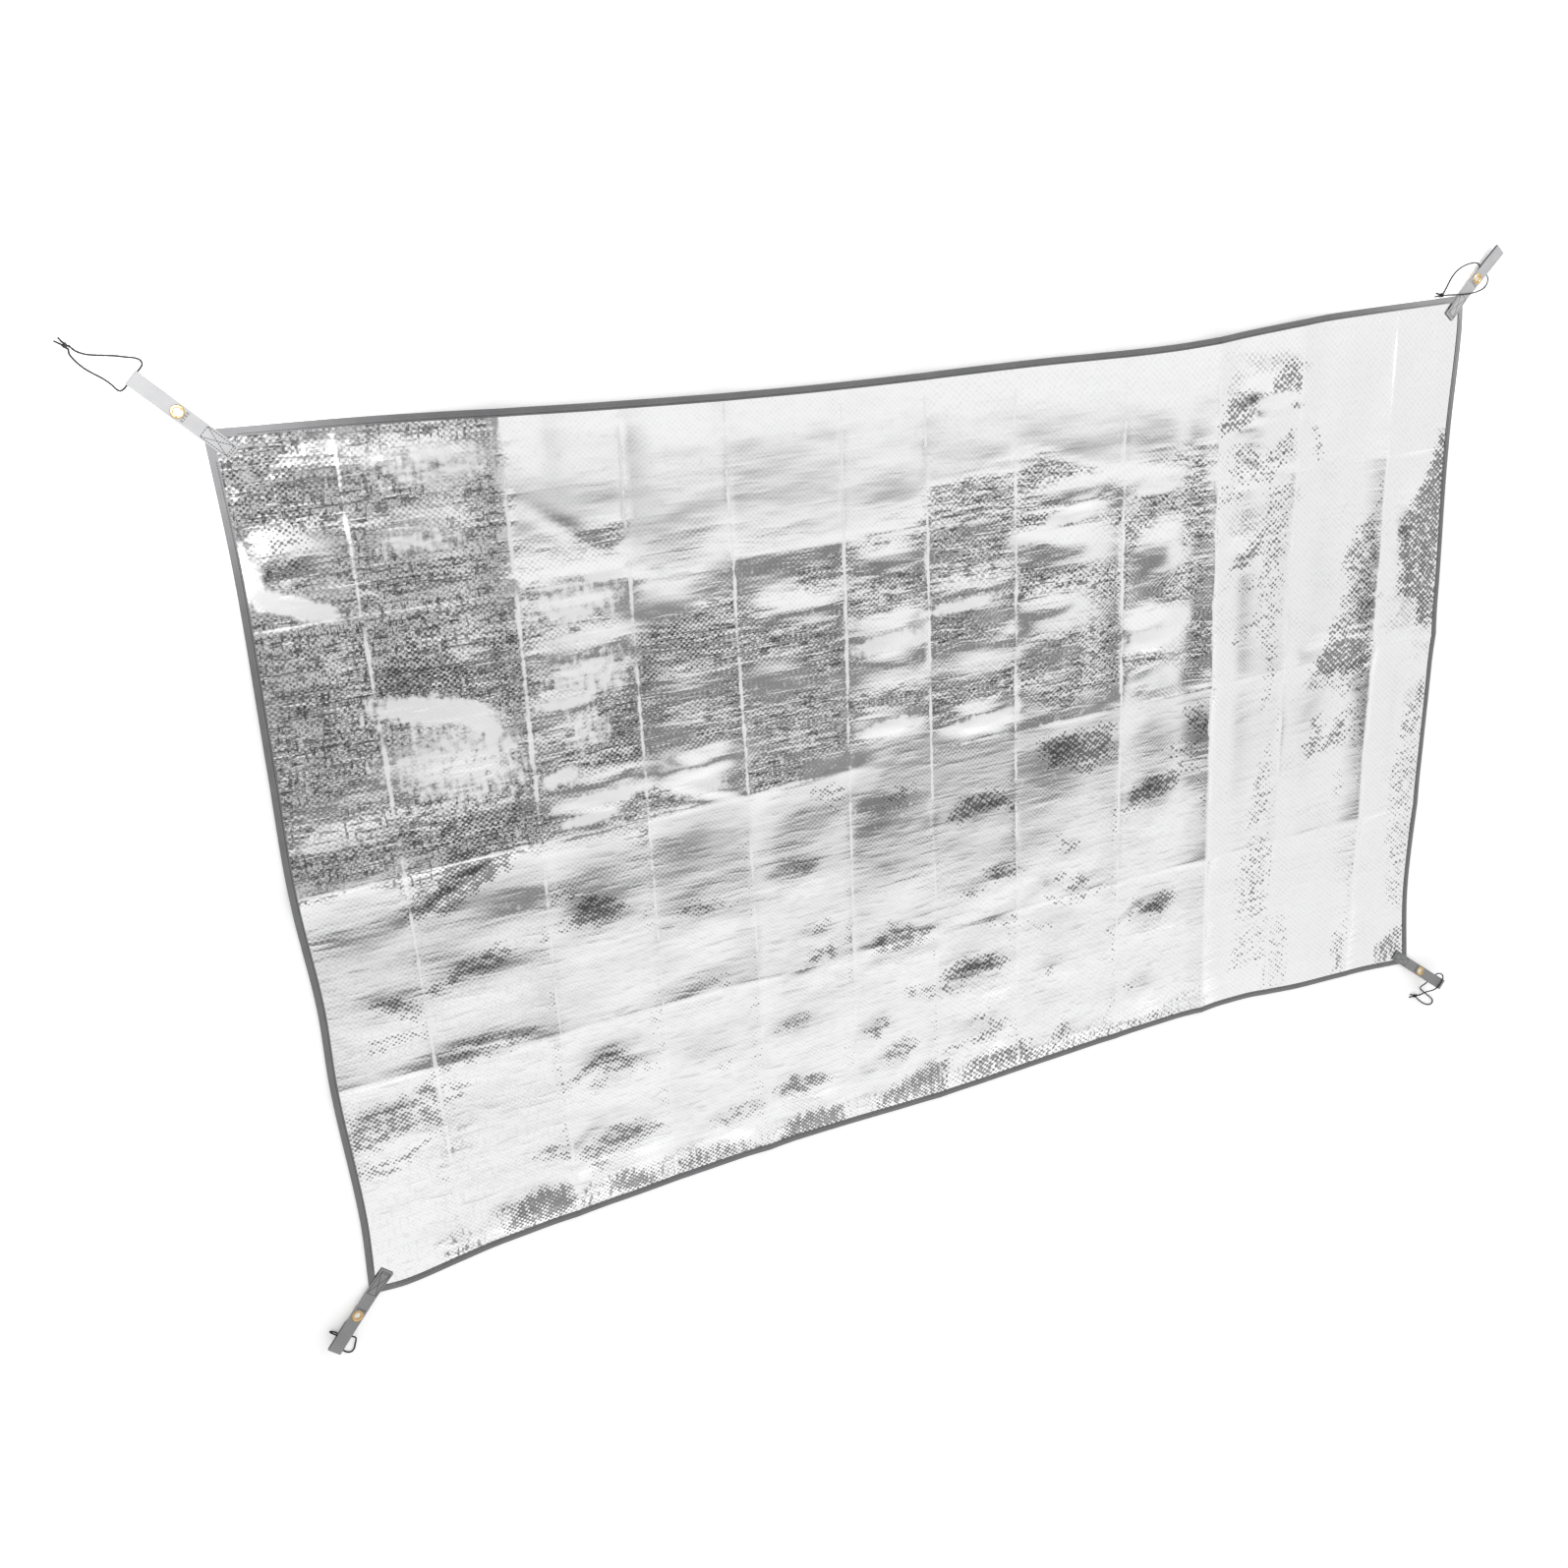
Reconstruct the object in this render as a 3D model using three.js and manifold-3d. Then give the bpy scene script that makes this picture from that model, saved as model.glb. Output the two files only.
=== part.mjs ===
// Thermal ground mat: a foil-faced sheet with bound edges, lying on the floor, and a webbing strap
// at each corner with an eyelet and a loop of cord. Millimetres, +Z up, the floor at z = 0.
import * as THREE from "three";
import { mergeVertices } from "three/addons/utils/BufferGeometryUtils.js";
import Module from "manifold-3d";

// Driving dimensions
const LENGTH = 2000; // corner to corner along X
const WIDTH = 1240; // corner to corner along Y
const SHEET_THICKNESS = 1.5;
const GAP = 0.3; // between neighbouring pieces
const TAPE_THICKNESS = 0.8;
const TAPE_WIDTH = 10.5; // binding seen on each face
const STRAP_WIDTH = 20;
const STRAP_THICKNESS = 1.2;
const STRAP_SEWN = 44; // from the inner end of a strap to the corner of the mat
const STRAP_FREE = 94; // from the corner of the mat to the tip
const STRAP_HEM = 8; // turned under at the inner end
const HEM_FOLD_STEPS = 4;
const TIP_FOLD_STEPS = 6;
const TUNNEL_HEIGHT = 3.2; // clear height between the webbing's two layers at the tip
const TUNNEL_SPREAD = 49; // from the corner of the mat to where the layers have spread so far
const TUNNEL_START = 42.5; // from the corner of the mat to where they start to spread
const FOLD_BACK_END = 20; // from the corner of the mat to the end of the folded-back layer
const EYELET_OUT = 33; // from the corner of the mat to the eyelet's centre
const EYELET_BORE = 9.4; // diameter
const EYELET_FLANGE = 16.6; // diameter
const EYELET_WALL = 0.5;
const EYELET_RIM = 0.8; // thickness of each flange
const EYELET_EDGE = 0.5; // bevel round each flange
const EYELET_SIDES = 20;
const CORD_DIAMETER = 2.4;
const CORD_SIDES = 8;
const CORD_STEP = 2 * CORD_DIAMETER; // length of one straight piece of a cord
const KNOT_LENGTH = 8.6;
const KNOT_WIDTH = 6.8;
const KNOT_RIDGE = 0.07; // height of the turns on a knot, as a share of its radius
const KNOT_TURNS = 3;
const KNOT_SIDES = 12;
const KNOT_RINGS = 8;

// Heights that follow from them
const RIM_HEIGHT = TAPE_THICKNESS + GAP; // underside of the sheet along its bound edges
const EDGE_INSET = TAPE_THICKNESS + GAP; // from the finished outline to the sheet's raw edge
const RIM_STRIP = TAPE_WIDTH + 2.5; // strip that stays level across, under the binding
const RIM_FLAT = 50; // from an edge, where the sheet starts to sink to the floor
const RIM_SUNK = 150; // from an edge, where it lies on the floor
const CORNER_FLAT = 100; // around a corner, where the sheet has no relief
const CORNER_FULL = 230;
const MIDDLE_FLAT = 85; // around the middle, where the sheet lies flat on the floor
const MIDDLE_FULL = 230;

// Finished outline: how far each edge draws in between the corners.
// along is measured from the left corner, or from the bottom corner on the short edges.
const EDGES = {
  bottom: [
    { along: 0, inward: 0 },
    { along: 60, inward: -3 },
    { along: 200, inward: 15 },
    { along: 500, inward: 29 },
    { along: 700, inward: 34 },
    { along: 950, inward: 30 },
    { along: 1350, inward: 37 },
    { along: 1600, inward: 34 },
    { along: 1720, inward: 21 },
    { along: 1880, inward: 12 },
    { along: 2000, inward: 0 },
  ],
  top: [
    { along: 0, inward: 0 },
    { along: 200, inward: 5 },
    { along: 500, inward: 19 },
    { along: 800, inward: 27 },
    { along: 1150, inward: 26 },
    { along: 1420, inward: 27 },
    { along: 1600, inward: 15 },
    { along: 1720, inward: 7 },
    { along: 2000, inward: 0 },
  ],
  left: [
    { along: 0, inward: 0 },
    { along: 130, inward: 6 },
    { along: 340, inward: 0 },
    { along: 470, inward: 3 },
    { along: 640, inward: -5 },
    { along: 820, inward: -1 },
    { along: 1060, inward: 4 },
    { along: 1240, inward: 0 },
  ],
  right: [
    { along: 0, inward: 0 },
    { along: 160, inward: 14 },
    { along: 340, inward: 8 },
    { along: 700, inward: -1 },
    { along: 990, inward: 4 },
    { along: 1180, inward: -4 },
    { along: 1240, inward: 0 },
  ],
};

// Packing folds across the mat: where each meets the bottom and top edge, and how high it stands
// at the bottom edge, in the middle and at the top edge.
const CREASES = [
  { bottom: -855, top: -854, low: 3, middle: 1, high: 2 },
  { bottom: -680, top: -647, low: 3, middle: 6, high: 5 },
  { bottom: -518, top: -488, low: 0, middle: 1, high: 0 },
  { bottom: -359, top: -339, low: 4, middle: 5, high: 3 },
  { bottom: -198, top: -161, low: 1, middle: 0, high: 0 },
  { bottom: -43, top: -30, low: 3, middle: 2, high: 3 },
  { bottom: 110, top: 122, low: 1, middle: 3, high: 1 },
  { bottom: 311, top: 320, low: 2, middle: 4, high: 2 },
  { bottom: 500, top: 494, low: 5, middle: 7, high: 6 },
  { bottom: 647, top: 665, low: 2, middle: 1, high: 4 },
  { bottom: 842, top: 860, low: 3, middle: 5, high: 2 },
];
const CREASE_REACH = 62; // from a fold to where its ridge has died away

// Packing folds along the mat: where each meets the left and right edge, and how high it stands
// at the left edge, in the middle and at the right edge.
const LONG_CREASES = [
  { left: -284, right: -284, low: 2, middle: 0.5, high: 1.5 },
  { left: 11, right: 40, low: 4, middle: 1.5, high: 3 },
  { left: 371, right: 371, low: 1, middle: 2, high: 0.5 },
];

// Crown of each panel between the folds, a row for each band from the bottom edge up.
const CROWNS = [
  [2.0, 3.5, 4.5, 2.5, 4.0, 3.0, 4.5, 3.5, 2.5, 1.5, 2.0, 1.0],
  [3.0, 2.5, 5.0, 4.0, 3.0, 5.0, 2.5, 4.5, 3.5, 2.0, 1.5, 2.5],
  [4.5, 6.0, 3.0, 4.5, 2.0, 4.0, 3.5, 5.5, 3.0, 2.5, 1.0, 3.0],
  [2.5, 3.0, 2.0, 3.5, 1.5, 2.5, 3.0, 2.0, 3.5, 4.0, 1.5, 1.0],
];
const CROWN_AT_FOLD = 0.35; // share of a crown that is left on the folds along the mat
const PANEL_STEPS = 3; // columns of the sheet in each panel
const BAND_STEPS = [4, 5, 4, 3]; // rows of the sheet in each band

// Corners: plan heading of the strap, its pitch past the edge of the mat, and the knot of its cord,
// with the heading of the knot's two free ends. Angles in degrees.
const CORNERS = [
  { name: "back_left", x: -1, y: 1, heading: 134.5, pitch: 1, knot: [-1126, 727, 3.5], ends: 139.5 },
  { name: "back_right", x: 1, y: 1, heading: 48, pitch: 7, knot: [951, 623.8, 3.5], ends: 176 },
  { name: "front_right", x: 1, y: -1, heading: -38.5, pitch: 16, knot: [1029, -700.3, 3.5], ends: 172 },
  { name: "front_left", x: -1, y: -1, heading: 225.9, pitch: 8, knot: [-1049, -672.5, 3.5], ends: 12 },
];

// Route of each cord: from its knot, through the tunnel of its strap, and back to the knot.
const CORD_ROUTES = {
  back_left: [
    [-1121.5, 725.2, 2.8], [-1116.5, 720, 1.6], [-1108.5, 716, 1.3], [-1098, 713.8, 1.3],
    [-1087, 712.5, 1.3], [-1076.5, 711, 1.3], [-1066, 708.8, 1.5], [-1057.5, 707.2, 2.2],
    [-1051.8, 704.5, 3.2], [-1050.2, 700.3, 4], [-1052.3, 696.5, 4.4], [-1056.8, 692.1, 4.4],
    [-1063.9, 685.1, 4.4], [-1071.1, 678.1, 4.4], [-1075.2, 674.2, 4], [-1079.5, 672.6, 3],
    [-1083.2, 675.2, 2], [-1086.5, 679.8, 1.4], [-1095, 688, 1.3], [-1105.5, 695.5, 1.3],
    [-1114.5, 703.5, 1.3], [-1121, 712, 1.4], [-1123.8, 718, 1.9], [-1123.5, 722.9, 2.8],
  ],
  back_right: [
    [955.3, 625.5, 2.8], [960, 630.5, 1.7], [965.5, 638.5, 1.3], [971, 647, 1.3],
    [977.5, 654.5, 1.3], [986, 661, 1.3], [995.5, 665.5, 1.5], [1005, 668.5, 3],
    [1013, 670.3, 6], [1019.8, 668.9, 8.4], [1025.8, 663.6, 8.9], [1033.2, 656.9, 8.9],
    [1040.7, 650.2, 8.9], [1045.6, 645.6, 8.2], [1049.3, 640, 6], [1050.3, 633.8, 3.8],
    [1047.5, 628.5, 2.3], [1041, 625.3, 1.8], [1032, 623.6, 3.3], [1023, 622.8, 6.4],
    [1014, 622.3, 9.2], [1003, 621.9, 8.4], [992.5, 621.9, 8], [983.5, 622.1, 5.8],
    [974, 622.5, 3.2], [964.5, 622.8, 2], [955.6, 622.6, 2.8],
  ],
  front_right: [
    [1033.6, -700.9, 2.8], [1036.5, -702, 2], [1041.5, -703.5, 1.5], [1047, -703, 1.9],
    [1050.5, -699.5, 4.8], [1051, -694.5, 10.5], [1050.5, -689, 18.5], [1052, -683.5, 26],
    [1055.6, -678.3, 30.2], [1061.1, -673.7, 31], [1066.1, -667.5, 31], [1069.7, -661.4, 30.6],
    [1070.6, -656.4, 29.2], [1068.2, -652.5, 26.3], [1063.2, -651.8, 23.2], [1058.9, -654.1, 22.05],
    [1049.8, -659.6, 20.95], [1040.8, -665.3, 19.95], [1036.5, -668.5, 19], [1034.5, -673.5, 15],
    [1036, -680, 9.5], [1041, -687, 4.5], [1047.5, -693.5, 2], [1059, -704, 1.3],
    [1068, -712, 1.3], [1076, -719.5, 1.3], [1080.5, -726, 1.3], [1079, -731.5, 1.3],
    [1073, -733, 1.3], [1063, -729.5, 1.3], [1052, -722.5, 1.3], [1043, -714.5, 1.3],
    [1036.5, -708, 1.6], [1032.6, -703.9, 2.7],
  ],
  front_left: [
    [-1052, -669.6, 2.9], [-1056.5, -665, 2], [-1061, -661, 2.6], [-1063.8, -658.2, 5.5],
    [-1063.2, -657.2, 9.5], [-1059.8, -659, 12], [-1055.4, -662.8, 12.5], [-1046.2, -667.6, 12.1],
    [-1036.9, -672.5, 11.7], [-1032.8, -676, 10.6], [-1030.8, -681.5, 7.8], [-1031.3, -688.5, 4],
    [-1033.3, -696, 1.8], [-1035.5, -702.5, 1.3], [-1039.5, -706.3, 1.3], [-1044.8, -705.8, 1.3],
    [-1049.3, -702, 1.3], [-1052.6, -696.5, 1.3], [-1054.2, -690, 1.3], [-1053.5, -683.5, 1.4],
    [-1050.9, -676.1, 2.8],
  ],
};

// Free ends of a cord past its knot, from the knot's middle.
const FREE_ENDS = [
  [[1, 1.2, -0.4], [5.5, 1.7, -1.5], [12, 2.6, -2.2]],
  [[1, -1.2, -0.4], [5, -1.9, -1.6], [10.5, -3.2, -2.2]],
];

const FINISHES = {
  foil: { color: 0xd4d6d8, roughness: 0.28, metalness: 0.9 },
  binding: { color: 0x7d7e80, roughness: 0.8, metalness: 0 },
  webbing: { color: 0x8f9092, roughness: 0.75, metalness: 0 },
  brass: { color: 0xd2a862, roughness: 0.3, metalness: 1 },
  cord: { color: 0x242527, roughness: 0.85, metalness: 0 },
};

const wasm = await Module();
wasm.setup();

const { lerp, smoothstep, degToRad } = THREE.MathUtils;

// A smooth curve through a table's rows, read at one place.
function readTable(rows, at) {
  const last = rows.length - 1;
  let k = 0;
  while (k < last - 1 && at > rows[k + 1].along) {
    k += 1;
  }
  const slope = (i) => {
    const a = rows[Math.max(i - 1, 0)];
    const b = rows[Math.min(i + 1, last)];
    return (b.inward - a.inward) / (b.along - a.along);
  };
  const span = rows[k + 1].along - rows[k].along;
  const f = THREE.MathUtils.clamp((at - rows[k].along) / span, 0, 1);
  const rise = f * f * (3 - 2 * f);
  const start = span * slope(k) * f * (1 - f) * (1 - f);
  const end = span * slope(k + 1) * f * f * (f - 1);
  return lerp(rows[k].inward, rows[k + 1].inward, rise) + start + end;
}

const edgeBottom = (x) => -WIDTH / 2 + readTable(EDGES.bottom, x + LENGTH / 2);
const edgeTop = (x) => WIDTH / 2 - readTable(EDGES.top, x + LENGTH / 2);
const edgeLeft = (y) => -LENGTH / 2 + readTable(EDGES.left, y + WIDTH / 2);
const edgeRight = (y) => LENGTH / 2 - readTable(EDGES.right, y + WIDTH / 2);

const creaseX = (crease, y) => lerp(crease.bottom, crease.top, y / WIDTH + 0.5);
const longCreaseY = (crease, x) => lerp(crease.left, crease.right, x / LENGTH + 0.5);

// X of fold line k at one height of the mat, the two edges counted as the first and last line.
function lineX(k, y) {
  if (k === 0) {
    return edgeLeft(y);
  }
  return k > CREASES.length ? edgeRight(y) : creaseX(CREASES[k - 1], y);
}

// Y of long fold line k at one length of the mat, the two edges counted as the first and last line.
function lineY(k, x) {
  if (k === 0) {
    return edgeBottom(x);
  }
  return k > LONG_CREASES.length ? edgeTop(x) : longCreaseY(LONG_CREASES[k - 1], x);
}

// Value at a place between numbered lines.
function between(lineAt, place, other) {
  const k = Math.floor(place);
  const f = place - k;
  return f === 0 ? lineAt(k, other) : lerp(lineAt(k, other), lineAt(k + 1, other), f);
}

// Stations across the panels: line is the place among the fold lines, inset the way in from an edge.
function stations(stepsOfPart) {
  const list = [{ line: 0, inset: EDGE_INSET }, { line: 0, inset: RIM_STRIP }];
  stepsOfPart.forEach((steps, part) => {
    for (let i = part === 0 ? 1 : 0; i < steps; i += 1) {
      list.push({ line: part + i / steps, inset: 0 });
    }
  });
  const line = stepsOfPart.length;
  list.push({ line, inset: -RIM_STRIP }, { line, inset: -EDGE_INSET });
  return list;
}

const COLUMNS = stations(Array(CREASES.length + 1).fill(PANEL_STEPS));
const ROWS = stations(BAND_STEPS);

// A fold's height at one share of its run.
function creaseHeight(crease, share) {
  const { low, middle, high } = crease;
  return share < 0.5 ? lerp(low, middle, 2 * share) : lerp(middle, high, 2 * share - 1);
}

// A ridge that dies away on both sides of its fold.
function ridge(height, distance) {
  const near = Math.max(0, 1 - Math.abs(distance) / CREASE_REACH);
  return height * near * near;
}

// Height of the sheet's underside; column and row are places among the fold lines.
function undersideHeight(x, y, column, row) {
  const panel = Math.min(Math.floor(column), CREASES.length);
  const band = Math.min(Math.floor(row), LONG_CREASES.length);
  const acrossBand = Math.sin(Math.PI * (row - band));
  const fill = CROWN_AT_FOLD + (1 - CROWN_AT_FOLD) * acrossBand;
  let relief = CROWNS[band][panel] * Math.sin(Math.PI * (column - panel)) * fill;
  for (const crease of CREASES) {
    relief += ridge(creaseHeight(crease, y / WIDTH + 0.5), x - creaseX(crease, y));
  }
  for (const crease of LONG_CREASES) {
    relief += ridge(creaseHeight(crease, x / LENGTH + 0.5), y - longCreaseY(crease, x));
  }
  const toCorner = Math.hypot(LENGTH / 2 - Math.abs(x), WIDTH / 2 - Math.abs(y));
  const toEdge = Math.min(x - edgeLeft(y), edgeRight(y) - x, y - edgeBottom(x), edgeTop(x) - y);
  const rim = RIM_HEIGHT * (1 - smoothstep(toEdge, RIM_FLAT, RIM_SUNK));
  const atCorner = smoothstep(toCorner, CORNER_FLAT, CORNER_FULL);
  const atMiddle = smoothstep(Math.hypot(x, y), MIDDLE_FLAT, MIDDLE_FULL);
  return rim + relief * atCorner * atMiddle;
}

// Underside point of the sheet at a column and row station.
function sheetPoint(column, row) {
  const level = between(lineY, row.line, 0);
  const lineAtX = between(lineX, column.line, level);
  const x = lineAtX + column.inset;
  const lineAtY = between(lineY, row.line, x);
  const height = undersideHeight(lineAtX, lineAtY, column.line, row.line);
  return new THREE.Vector3(x, lineAtY + row.inset, height);
}

// A closed solid between two grids of points with the same rows and columns.
function slabGeometry(upper, lower) {
  const rows = upper.length;
  const columns = upper[0].length;
  const triangles = [];
  const at = (side, i, j) => (side * rows + i) * columns + j;
  const quad = (a, b, c, d) => triangles.push(a, b, c, a, c, d);
  const lastRow = rows - 1;
  const lastColumn = columns - 1;
  for (let i = 0; i < lastRow; i += 1) {
    for (let j = 0; j < lastColumn; j += 1) {
      quad(at(0, i, j), at(0, i + 1, j), at(0, i + 1, j + 1), at(0, i, j + 1));
      quad(at(1, i, j), at(1, i, j + 1), at(1, i + 1, j + 1), at(1, i + 1, j));
    }
    quad(at(0, i, 0), at(1, i, 0), at(1, i + 1, 0), at(0, i + 1, 0));
    quad(at(0, i + 1, lastColumn), at(1, i + 1, lastColumn), at(1, i, lastColumn), at(0, i, lastColumn));
  }
  for (let j = 0; j < lastColumn; j += 1) {
    quad(at(0, 0, j + 1), at(1, 0, j + 1), at(1, 0, j), at(0, 0, j));
    quad(at(0, lastRow, j), at(1, lastRow, j), at(1, lastRow, j + 1), at(0, lastRow, j + 1));
  }
  const geometry = new THREE.BufferGeometry().setFromPoints([...upper.flat(), ...lower.flat()]);
  return geometry.setIndex(triangles);
}

function meshOf(name, geometry, finish) {
  const mesh = new THREE.Mesh(geometry, new THREE.MeshStandardMaterial(FINISHES[finish]));
  mesh.name = name;
  return mesh;
}

function matSheet() {
  const lower = COLUMNS.map((column) => ROWS.map((row) => sheetPoint(column, row)));
  const lift = new THREE.Vector3(0, 0, SHEET_THICKNESS);
  const upper = lower.map((line) => line.map((point) => point.clone().add(lift)));
  return meshOf("mat_sheet", slabGeometry(upper, lower), "foil");
}

// Section of the folded tape: inset from the finished edge, and height above the sheet's underside.
const TAPE_OUTSIDE = [
  { inset: TAPE_WIDTH, height: SHEET_THICKNESS + RIM_HEIGHT },
  { inset: TAPE_THICKNESS, height: SHEET_THICKNESS + RIM_HEIGHT },
  { inset: 0, height: SHEET_THICKNESS + GAP },
  { inset: 0, height: -GAP },
  { inset: TAPE_THICKNESS, height: -RIM_HEIGHT },
  { inset: TAPE_WIDTH, height: -RIM_HEIGHT },
];
const TAPE_INSIDE = [
  { inset: TAPE_WIDTH, height: SHEET_THICKNESS + GAP },
  { inset: TAPE_THICKNESS + GAP, height: SHEET_THICKNESS + GAP },
  { inset: TAPE_THICKNESS, height: SHEET_THICKNESS + GAP },
  { inset: TAPE_THICKNESS, height: -GAP },
  { inset: TAPE_THICKNESS + GAP, height: -GAP },
  { inset: TAPE_WIDTH, height: -GAP },
];

// One edge's binding. edgePoint gives the finished edge at a station, with the height of the sheet's
// underside, inward is the way into the mat, and onward the way along the edge.
function bindingStrip(name, places, edgePoint, inward, onward) {
  const last = places.length - 1;
  const surface = (section) =>
    places.map((place, i) =>
      section.map(({ inset, height }) => {
        const mitre = i === 0 ? inset + GAP : 0;
        const endMitre = i === last ? -inset - GAP : 0;
        const point = edgePoint(place).addScaledVector(inward, inset);
        point.addScaledVector(onward, mitre + endMitre);
        point.z += height;
        return point;
      }),
    );
  return meshOf(name, slabGeometry(surface(TAPE_OUTSIDE), surface(TAPE_INSIDE)), "binding");
}

// The four lengths of binding, each mitred at the corners.
function bindings() {
  const toOutline = (list) => list.map((s) => (Math.abs(s.inset) === EDGE_INSET ? { ...s, inset: 0 } : s));
  const columns = toOutline(COLUMNS);
  const rows = toOutline(ROWS);
  const onRow = (line) => (column) => sheetPoint(column, { line, inset: 0 });
  const onColumn = (line) => (row) => sheetPoint({ line, inset: 0 }, row);
  const east = new THREE.Vector3(1, 0, 0);
  const north = new THREE.Vector3(0, 1, 0);
  const west = east.clone().negate();
  const south = north.clone().negate();
  const lastColumn = CREASES.length + 1;
  const lastRow = LONG_CREASES.length + 1;
  return [
    bindingStrip("binding_front", columns.toReversed(), onRow(0), north, west),
    bindingStrip("binding_back", columns, onRow(lastRow), south, east),
    bindingStrip("binding_left", rows, onColumn(0), east, north),
    bindingStrip("binding_right", rows.toReversed(), onColumn(lastColumn), west, south),
  ];
}

// A geometry's triangles as a solid that can be cut and joined.
function solidOf(geometry) {
  const bare = geometry.clone();
  bare.deleteAttribute("normal");
  bare.deleteAttribute("uv");
  const merged = mergeVertices(bare, 1e-4);
  const vertProperties = merged.getAttribute("position").array;
  const triVerts = new Uint32Array(merged.index.array);
  return new wasm.Manifold(new wasm.Mesh({ numProp: 3, vertProperties, triVerts }));
}

function geometryOf(solid) {
  const { vertProperties, triVerts } = solid.getMesh();
  const geometry = new THREE.BufferGeometry();
  geometry.setAttribute("position", new THREE.BufferAttribute(vertProperties, 3));
  return geometry.setIndex(new THREE.BufferAttribute(triVerts, 1));
}

// Points of an arc in the strap's side view, from one angle to another in degrees.
function arc(centre, radius, from, to, steps) {
  return Array.from({ length: steps + 1 }, (_, i) => {
    const angle = degToRad(lerp(from, to, i / steps));
    return new THREE.Vector2(radius * Math.cos(angle), radius * Math.sin(angle)).add(centre);
  });
}

// Heights of the strap's layers over the sheet, to the middle of the webbing.
const LAYER_PITCH = STRAP_THICKNESS + GAP;
const HEM_LEVEL = GAP + STRAP_THICKNESS / 2;
const STRAP_LEVEL = HEM_LEVEL + LAYER_PITCH;
const TUNNEL_RADIUS = (TUNNEL_HEIGHT + STRAP_THICKNESS) / 2;
const TUNNEL_OUT = STRAP_FREE - TUNNEL_RADIUS - STRAP_THICKNESS / 2; // where the tip's fold starts

// The webbing's run in side view: x outwards from the corner of the mat, y up from the sheet's face.
function strapRun(pitch) {
  const foldRadius = (STRAP_LEVEL - HEM_LEVEL) / 2;
  const foldCentre = new THREE.Vector2(foldRadius - STRAP_SEWN, HEM_LEVEL + foldRadius);
  const sewn = [
    new THREE.Vector2(STRAP_HEM - STRAP_SEWN, HEM_LEVEL),
    ...arc(foldCentre, foldRadius, -90, -270, HEM_FOLD_STEPS),
    new THREE.Vector2(0, STRAP_LEVEL),
  ];
  const free = [
    new THREE.Vector2(EYELET_OUT, 0),
    ...arc(new THREE.Vector2(TUNNEL_OUT, -TUNNEL_RADIUS), TUNNEL_RADIUS, 90, -90, TIP_FOLD_STEPS),
    new THREE.Vector2(TUNNEL_SPREAD, -2 * TUNNEL_RADIUS),
    new THREE.Vector2(TUNNEL_START, -LAYER_PITCH),
    new THREE.Vector2(FOLD_BACK_END, -LAYER_PITCH),
  ];
  const bend = new THREE.Vector2(0, STRAP_LEVEL);
  return [...sewn, ...free.map((point) => point.rotateAround(new THREE.Vector2(), pitch).add(bend))];
}

// Side of a ribbon that follows a run, at an offset to its left, at both edges of its width.
function ribbonSide(run, offset) {
  const headings = run.slice(1).map((point, i) => point.clone().sub(run[i]).normalize());
  return run.map((point, i) => {
    const before = headings[Math.max(i - 1, 0)];
    const after = headings[Math.min(i, headings.length - 1)];
    const mean = before.clone().add(after).normalize();
    const reach = offset / mean.dot(after);
    const x = point.x - mean.y * reach;
    const z = point.y + mean.x * reach;
    return [-STRAP_WIDTH / 2, STRAP_WIDTH / 2].map((y) => new THREE.Vector3(x, y, z));
  });
}

// Turned section of an eyelet: a barrel through both layers, with a flange on each face.
function eyeletGeometry() {
  const bore = EYELET_BORE / 2;
  const barrel = bore + EYELET_WALL;
  const flange = EYELET_FLANGE / 2;
  const under = (STRAP_THICKNESS + LAYER_PITCH) / 2 + GAP;
  const face = under + EYELET_RIM;
  const half = [
    [barrel, under],
    [flange, under],
    [flange, face - EYELET_EDGE],
    [flange - EYELET_EDGE, face],
    [barrel, face],
    [bore, face - EYELET_EDGE],
  ];
  const upper = half.map(([radius, height]) => new THREE.Vector2(radius, height));
  const lower = half.map(([radius, height]) => new THREE.Vector2(radius, -height)).reverse();
  const geometry = new THREE.LatheGeometry([...upper, ...lower, upper[0].clone()], EYELET_SIDES);
  return geometry.rotateX(Math.PI / 2);
}

// Strap and eyelet of one corner, in a group that stands at the corner on the sheet's face.
function cornerStrap({ name, x, y, heading, pitch }) {
  const run = strapRun(degToRad(pitch));
  const webbing = slabGeometry(ribbonSide(run, STRAP_THICKNESS / 2), ribbonSide(run, -STRAP_THICKNESS / 2));
  const seat = new THREE.Group();
  seat.position.set(0, 0, STRAP_LEVEL);
  seat.rotation.y = -degToRad(pitch);
  const eyelet = meshOf("eyelet_" + name, eyeletGeometry(), "brass");
  eyelet.position.set(EYELET_OUT, 0, -LAYER_PITCH / 2);
  seat.add(eyelet);
  seat.updateMatrixWorld(true);
  const holeRadius = EYELET_BORE / 2 + EYELET_WALL + GAP;
  const hole = new THREE.CylinderGeometry(holeRadius, holeRadius, EYELET_FLANGE, EYELET_SIDES);
  hole.rotateX(Math.PI / 2).applyMatrix4(eyelet.matrixWorld);
  const strap = meshOf("strap_" + name, geometryOf(solidOf(webbing).subtract(solidOf(hole))), "webbing");
  const corner = new THREE.Group();
  corner.position.set((x * LENGTH) / 2, (y * WIDTH) / 2, RIM_HEIGHT + SHEET_THICKNESS);
  corner.rotation.z = degToRad(heading);
  corner.add(strap, seat);
  return corner;
}

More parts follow.
